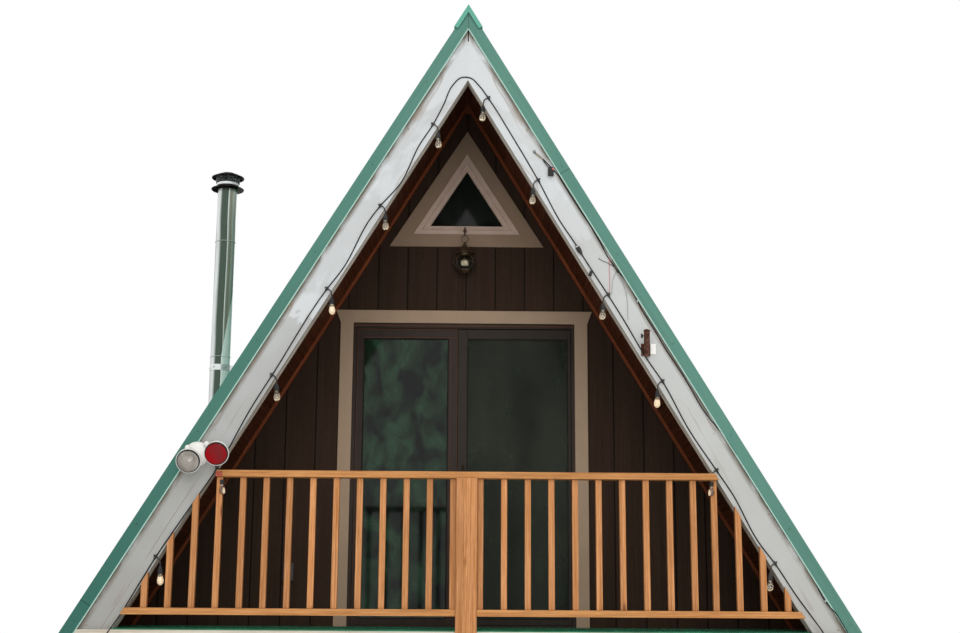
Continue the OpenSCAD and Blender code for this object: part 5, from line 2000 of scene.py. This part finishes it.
    def connectors(self) -> None:
        """Pale ring on the string's connector, sleeve and cap at the plug, and the clips of the feed."""
        ring = ((9, 12), (11, 12.5), (11, 21), (9, 21.5)), ((653, 2266, -14), (690, 2203, -14)), 24
        sleeve = ((0, -1), (6, -1), (5, 54), (0, 54)), ((417, 2834, -8), (458, 2800, -8)), 20
        for name, finish, (profile, ends, steps) in (
            ("connector_ring", PALE_PLASTIC, ring), ("feed_sleeve", BEIGE_SLEEVE, sleeve)
        ):
            made = Solid()
            start, end = (self.at(p) for p in ends)
            made.lathe(mm(*profile), facing(end - start, start), steps)
            show(made, name, finish, "light_sockets")
        cap, clips = Solid(), Solid()
        front = facing((0, -1, 0), self.at((518, 2729, -33)))
        cap.lathe(mm((0, -4), (5, -4), (7, 0), (6, 5), (0, 6)), front, 20)
        show(cap, "outlet_cap", RED_WIRE, "light_sockets")
        for x, z in ((1019, 1924), (2064, 183)):
            place = Matrix.Translation(self.at((x, z, -9))) @ Matrix.Rotation(math.radians(31), 4, "Y")
            clips.block(*mm((-7, -3, -8), (7, 3, 8)), place, 1 * MM)
        show(clips, "feed_clips", SCREW_ZINC, "light_sockets")

    def bulbs(self) -> None:
        """Clear bulbs: a thin glass shell, a narrow cap, and a lit core or a filament glowing as a painted
        highlight in each.
        """
        shell, cap, wire, core = Solid(), Solid(), Solid(), Solid()
        top = -40 * MM
        outer = [(12, -1), (12.6, -8), (15, -18), (18.4, -31), (18.4, -42), (16, -52), (9, -60), (0, -63)]
        shell.lathe([(r * MM, top + z * MM) for r, z in outer], Matrix(), 24)
        shell.lathe([(max(r - 1.2, 0) * MM, top + z * MM * 0.98) for r, z in reversed(outer)], Matrix(), 24)
        cap.lathe(mm((0, -39), (12, -40), (12, -46), (5, -50), (4, -60), (0, -61)), Matrix(), 24)
        angles = [math.tau * k / 24 for k in range(24)]
        loop = [mm(9 * math.cos(a), 3 * math.sin(2 * a), 12 * math.sin(a) - 76) for a in angles]
        wire.tube([Vector(p) for p in loop], 0.9 * MM, 5, closed=True)
        core.lathe(mm((0, -54), (7, -58), (11, -72), (10, -84), (0, -92)), Matrix(), 24)
        # the unlit bulbs' filaments glow as painted warm highlights
        unlit = [i for i in range(len(self.junctions)) if i not in self.lit]
        for name, part, finish, chosen in (
            ("bulb_shells", shell, BULB_GLASS, range(12)), ("bulb_caps", cap, LAMP_CAP, range(12)),
            ("bulb_filaments", wire, FILAMENT_HIGHLIGHT, unlit), ("lit_cores", core, LIT_CORE, self.lit),
        ):
            made = Solid()
            made.stamp(part, self.turns(chosen))
            stand_in(made, name, finish, "light_bulbs")


@dataclass
class Studio:
    """Pale floor, soft light, and a camera where the photograph was taken from."""

    lens_mm: float = 53.15
    stand_off: float = 8.2229
    eye_above_deck: float = 0.1227
    yaw: float = -0.01014
    pitch: float = 0.20394
    roll: float = 0.00663
    sky: float = 0.72
    floor_reach: float = 60.0

    def build(self) -> None:
        """Set the world, the lamps, the floor and the camera."""
        scene = bpy.context.scene
        scene.view_settings.view_transform = "Standard"
        self.world(scene)
        self.floor()
        self.lamp("front", (0.0, -16.0, 11.0), (0, -3.5, 3.0), 9.0, 560)
        self.lamp("low_front", (0.3, -17.0, 4.9), (0, -3.4, 3.6), 8.0, 780)
        self.camera(scene)

    def world(self, scene: bpy.types.Scene) -> None:
        """Soft daylight all round, seen as plain white by the camera and in reflections.

        Args:
            scene: Scene that takes it.
        """
        world = bpy.data.worlds.new("studio")
        scene.world = world
        world.use_nodes = True
        world.node_tree.nodes.clear()
        add = partial(add_node, world.node_tree)
        ray = add("LightPath")
        direct = ray.outputs["Is Camera Ray"], ray.outputs["Is Transmission Ray"]
        seen = add("Math", *direct, operation="MAXIMUM")
        seen = add("Math", seen, ray.outputs["Is Glossy Ray"], operation="MAXIMUM")
        soft = add("Background", linear("#fbf9f5"), self.sky)
        white = add("Background", (1, 1, 1, 1), 1.0)
        mixed = add("MixShader", seen, soft, white)
        add("OutputWorld", mixed)

    def floor(self) -> None:
        """Plain pale floor that takes the cabin's shadow."""
        mesh = bpy.data.meshes.new("studio_floor")
        r = self.floor_reach
        mesh.from_pydata([(-r, -r, 0), (r, -r, 0), (r, r, 0), (-r, r, 0)], [], [(0, 1, 2, 3)])
        mesh.materials.append(FloorPaint("studio floor paint").material())
        floor = bpy.data.objects.new("studio_floor", mesh)
        bpy.context.scene.collection.objects.link(floor)

    def lamp(
        self, name: str, place: Sequence[float], aim: Sequence[float], size: float, power: float
    ) -> None:
        """Add one large soft lamp.

        Args:
            name: Name of the lamp.
            place: Where it stands.
            aim: Point that it faces.
            size: Side of its square.
            power: Power in watts.
        """
        data = bpy.data.lights.new(name, "AREA")
        data.size = size
        data.energy = power
        lamp = bpy.data.objects.new(name, data)
        lamp.visible_glossy = False
        lamp.matrix_world = facing(Vector(place) - Vector(aim), place)
        bpy.context.scene.collection.objects.link(lamp)

    def camera(self, scene: bpy.types.Scene) -> None:
        """Camera solved from the door, railing and roof edges in the photograph.

        Args:
            scene: Scene that takes it.
        """
        data = bpy.data.cameras.new("photo_camera")
        data.sensor_width = 36.0
        data.lens = self.lens_mm
        camera = bpy.data.objects.new("photo_camera", data)
        place = Matrix.Translation((0, LINES.face_y - self.stand_off, LINES.deck_z + self.eye_above_deck))
        turn = Matrix.Rotation(self.yaw, 4, "Z") @ Matrix.Rotation(math.pi / 2 + self.pitch, 4, "X")
        camera.matrix_world = place @ turn @ Matrix.Rotation(self.roll, 4, "Z")
        scene.collection.objects.link(camera)
        scene.camera = camera


def main() -> None:
    """Build the cabin's pieces in order."""
    logging.basicConfig(level=logging.INFO, format="%(name)s %(message)s")
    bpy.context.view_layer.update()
    Studio().build()
    StringLights().build()
    MetalRoof().build()
    Boarding().build()
    Balcony().build()
    Openings().build()
    Lantern().build()
    Flue().build()
    FloodLamps().build()
    Fittings().build()


if __name__ == "__main__":
    main()
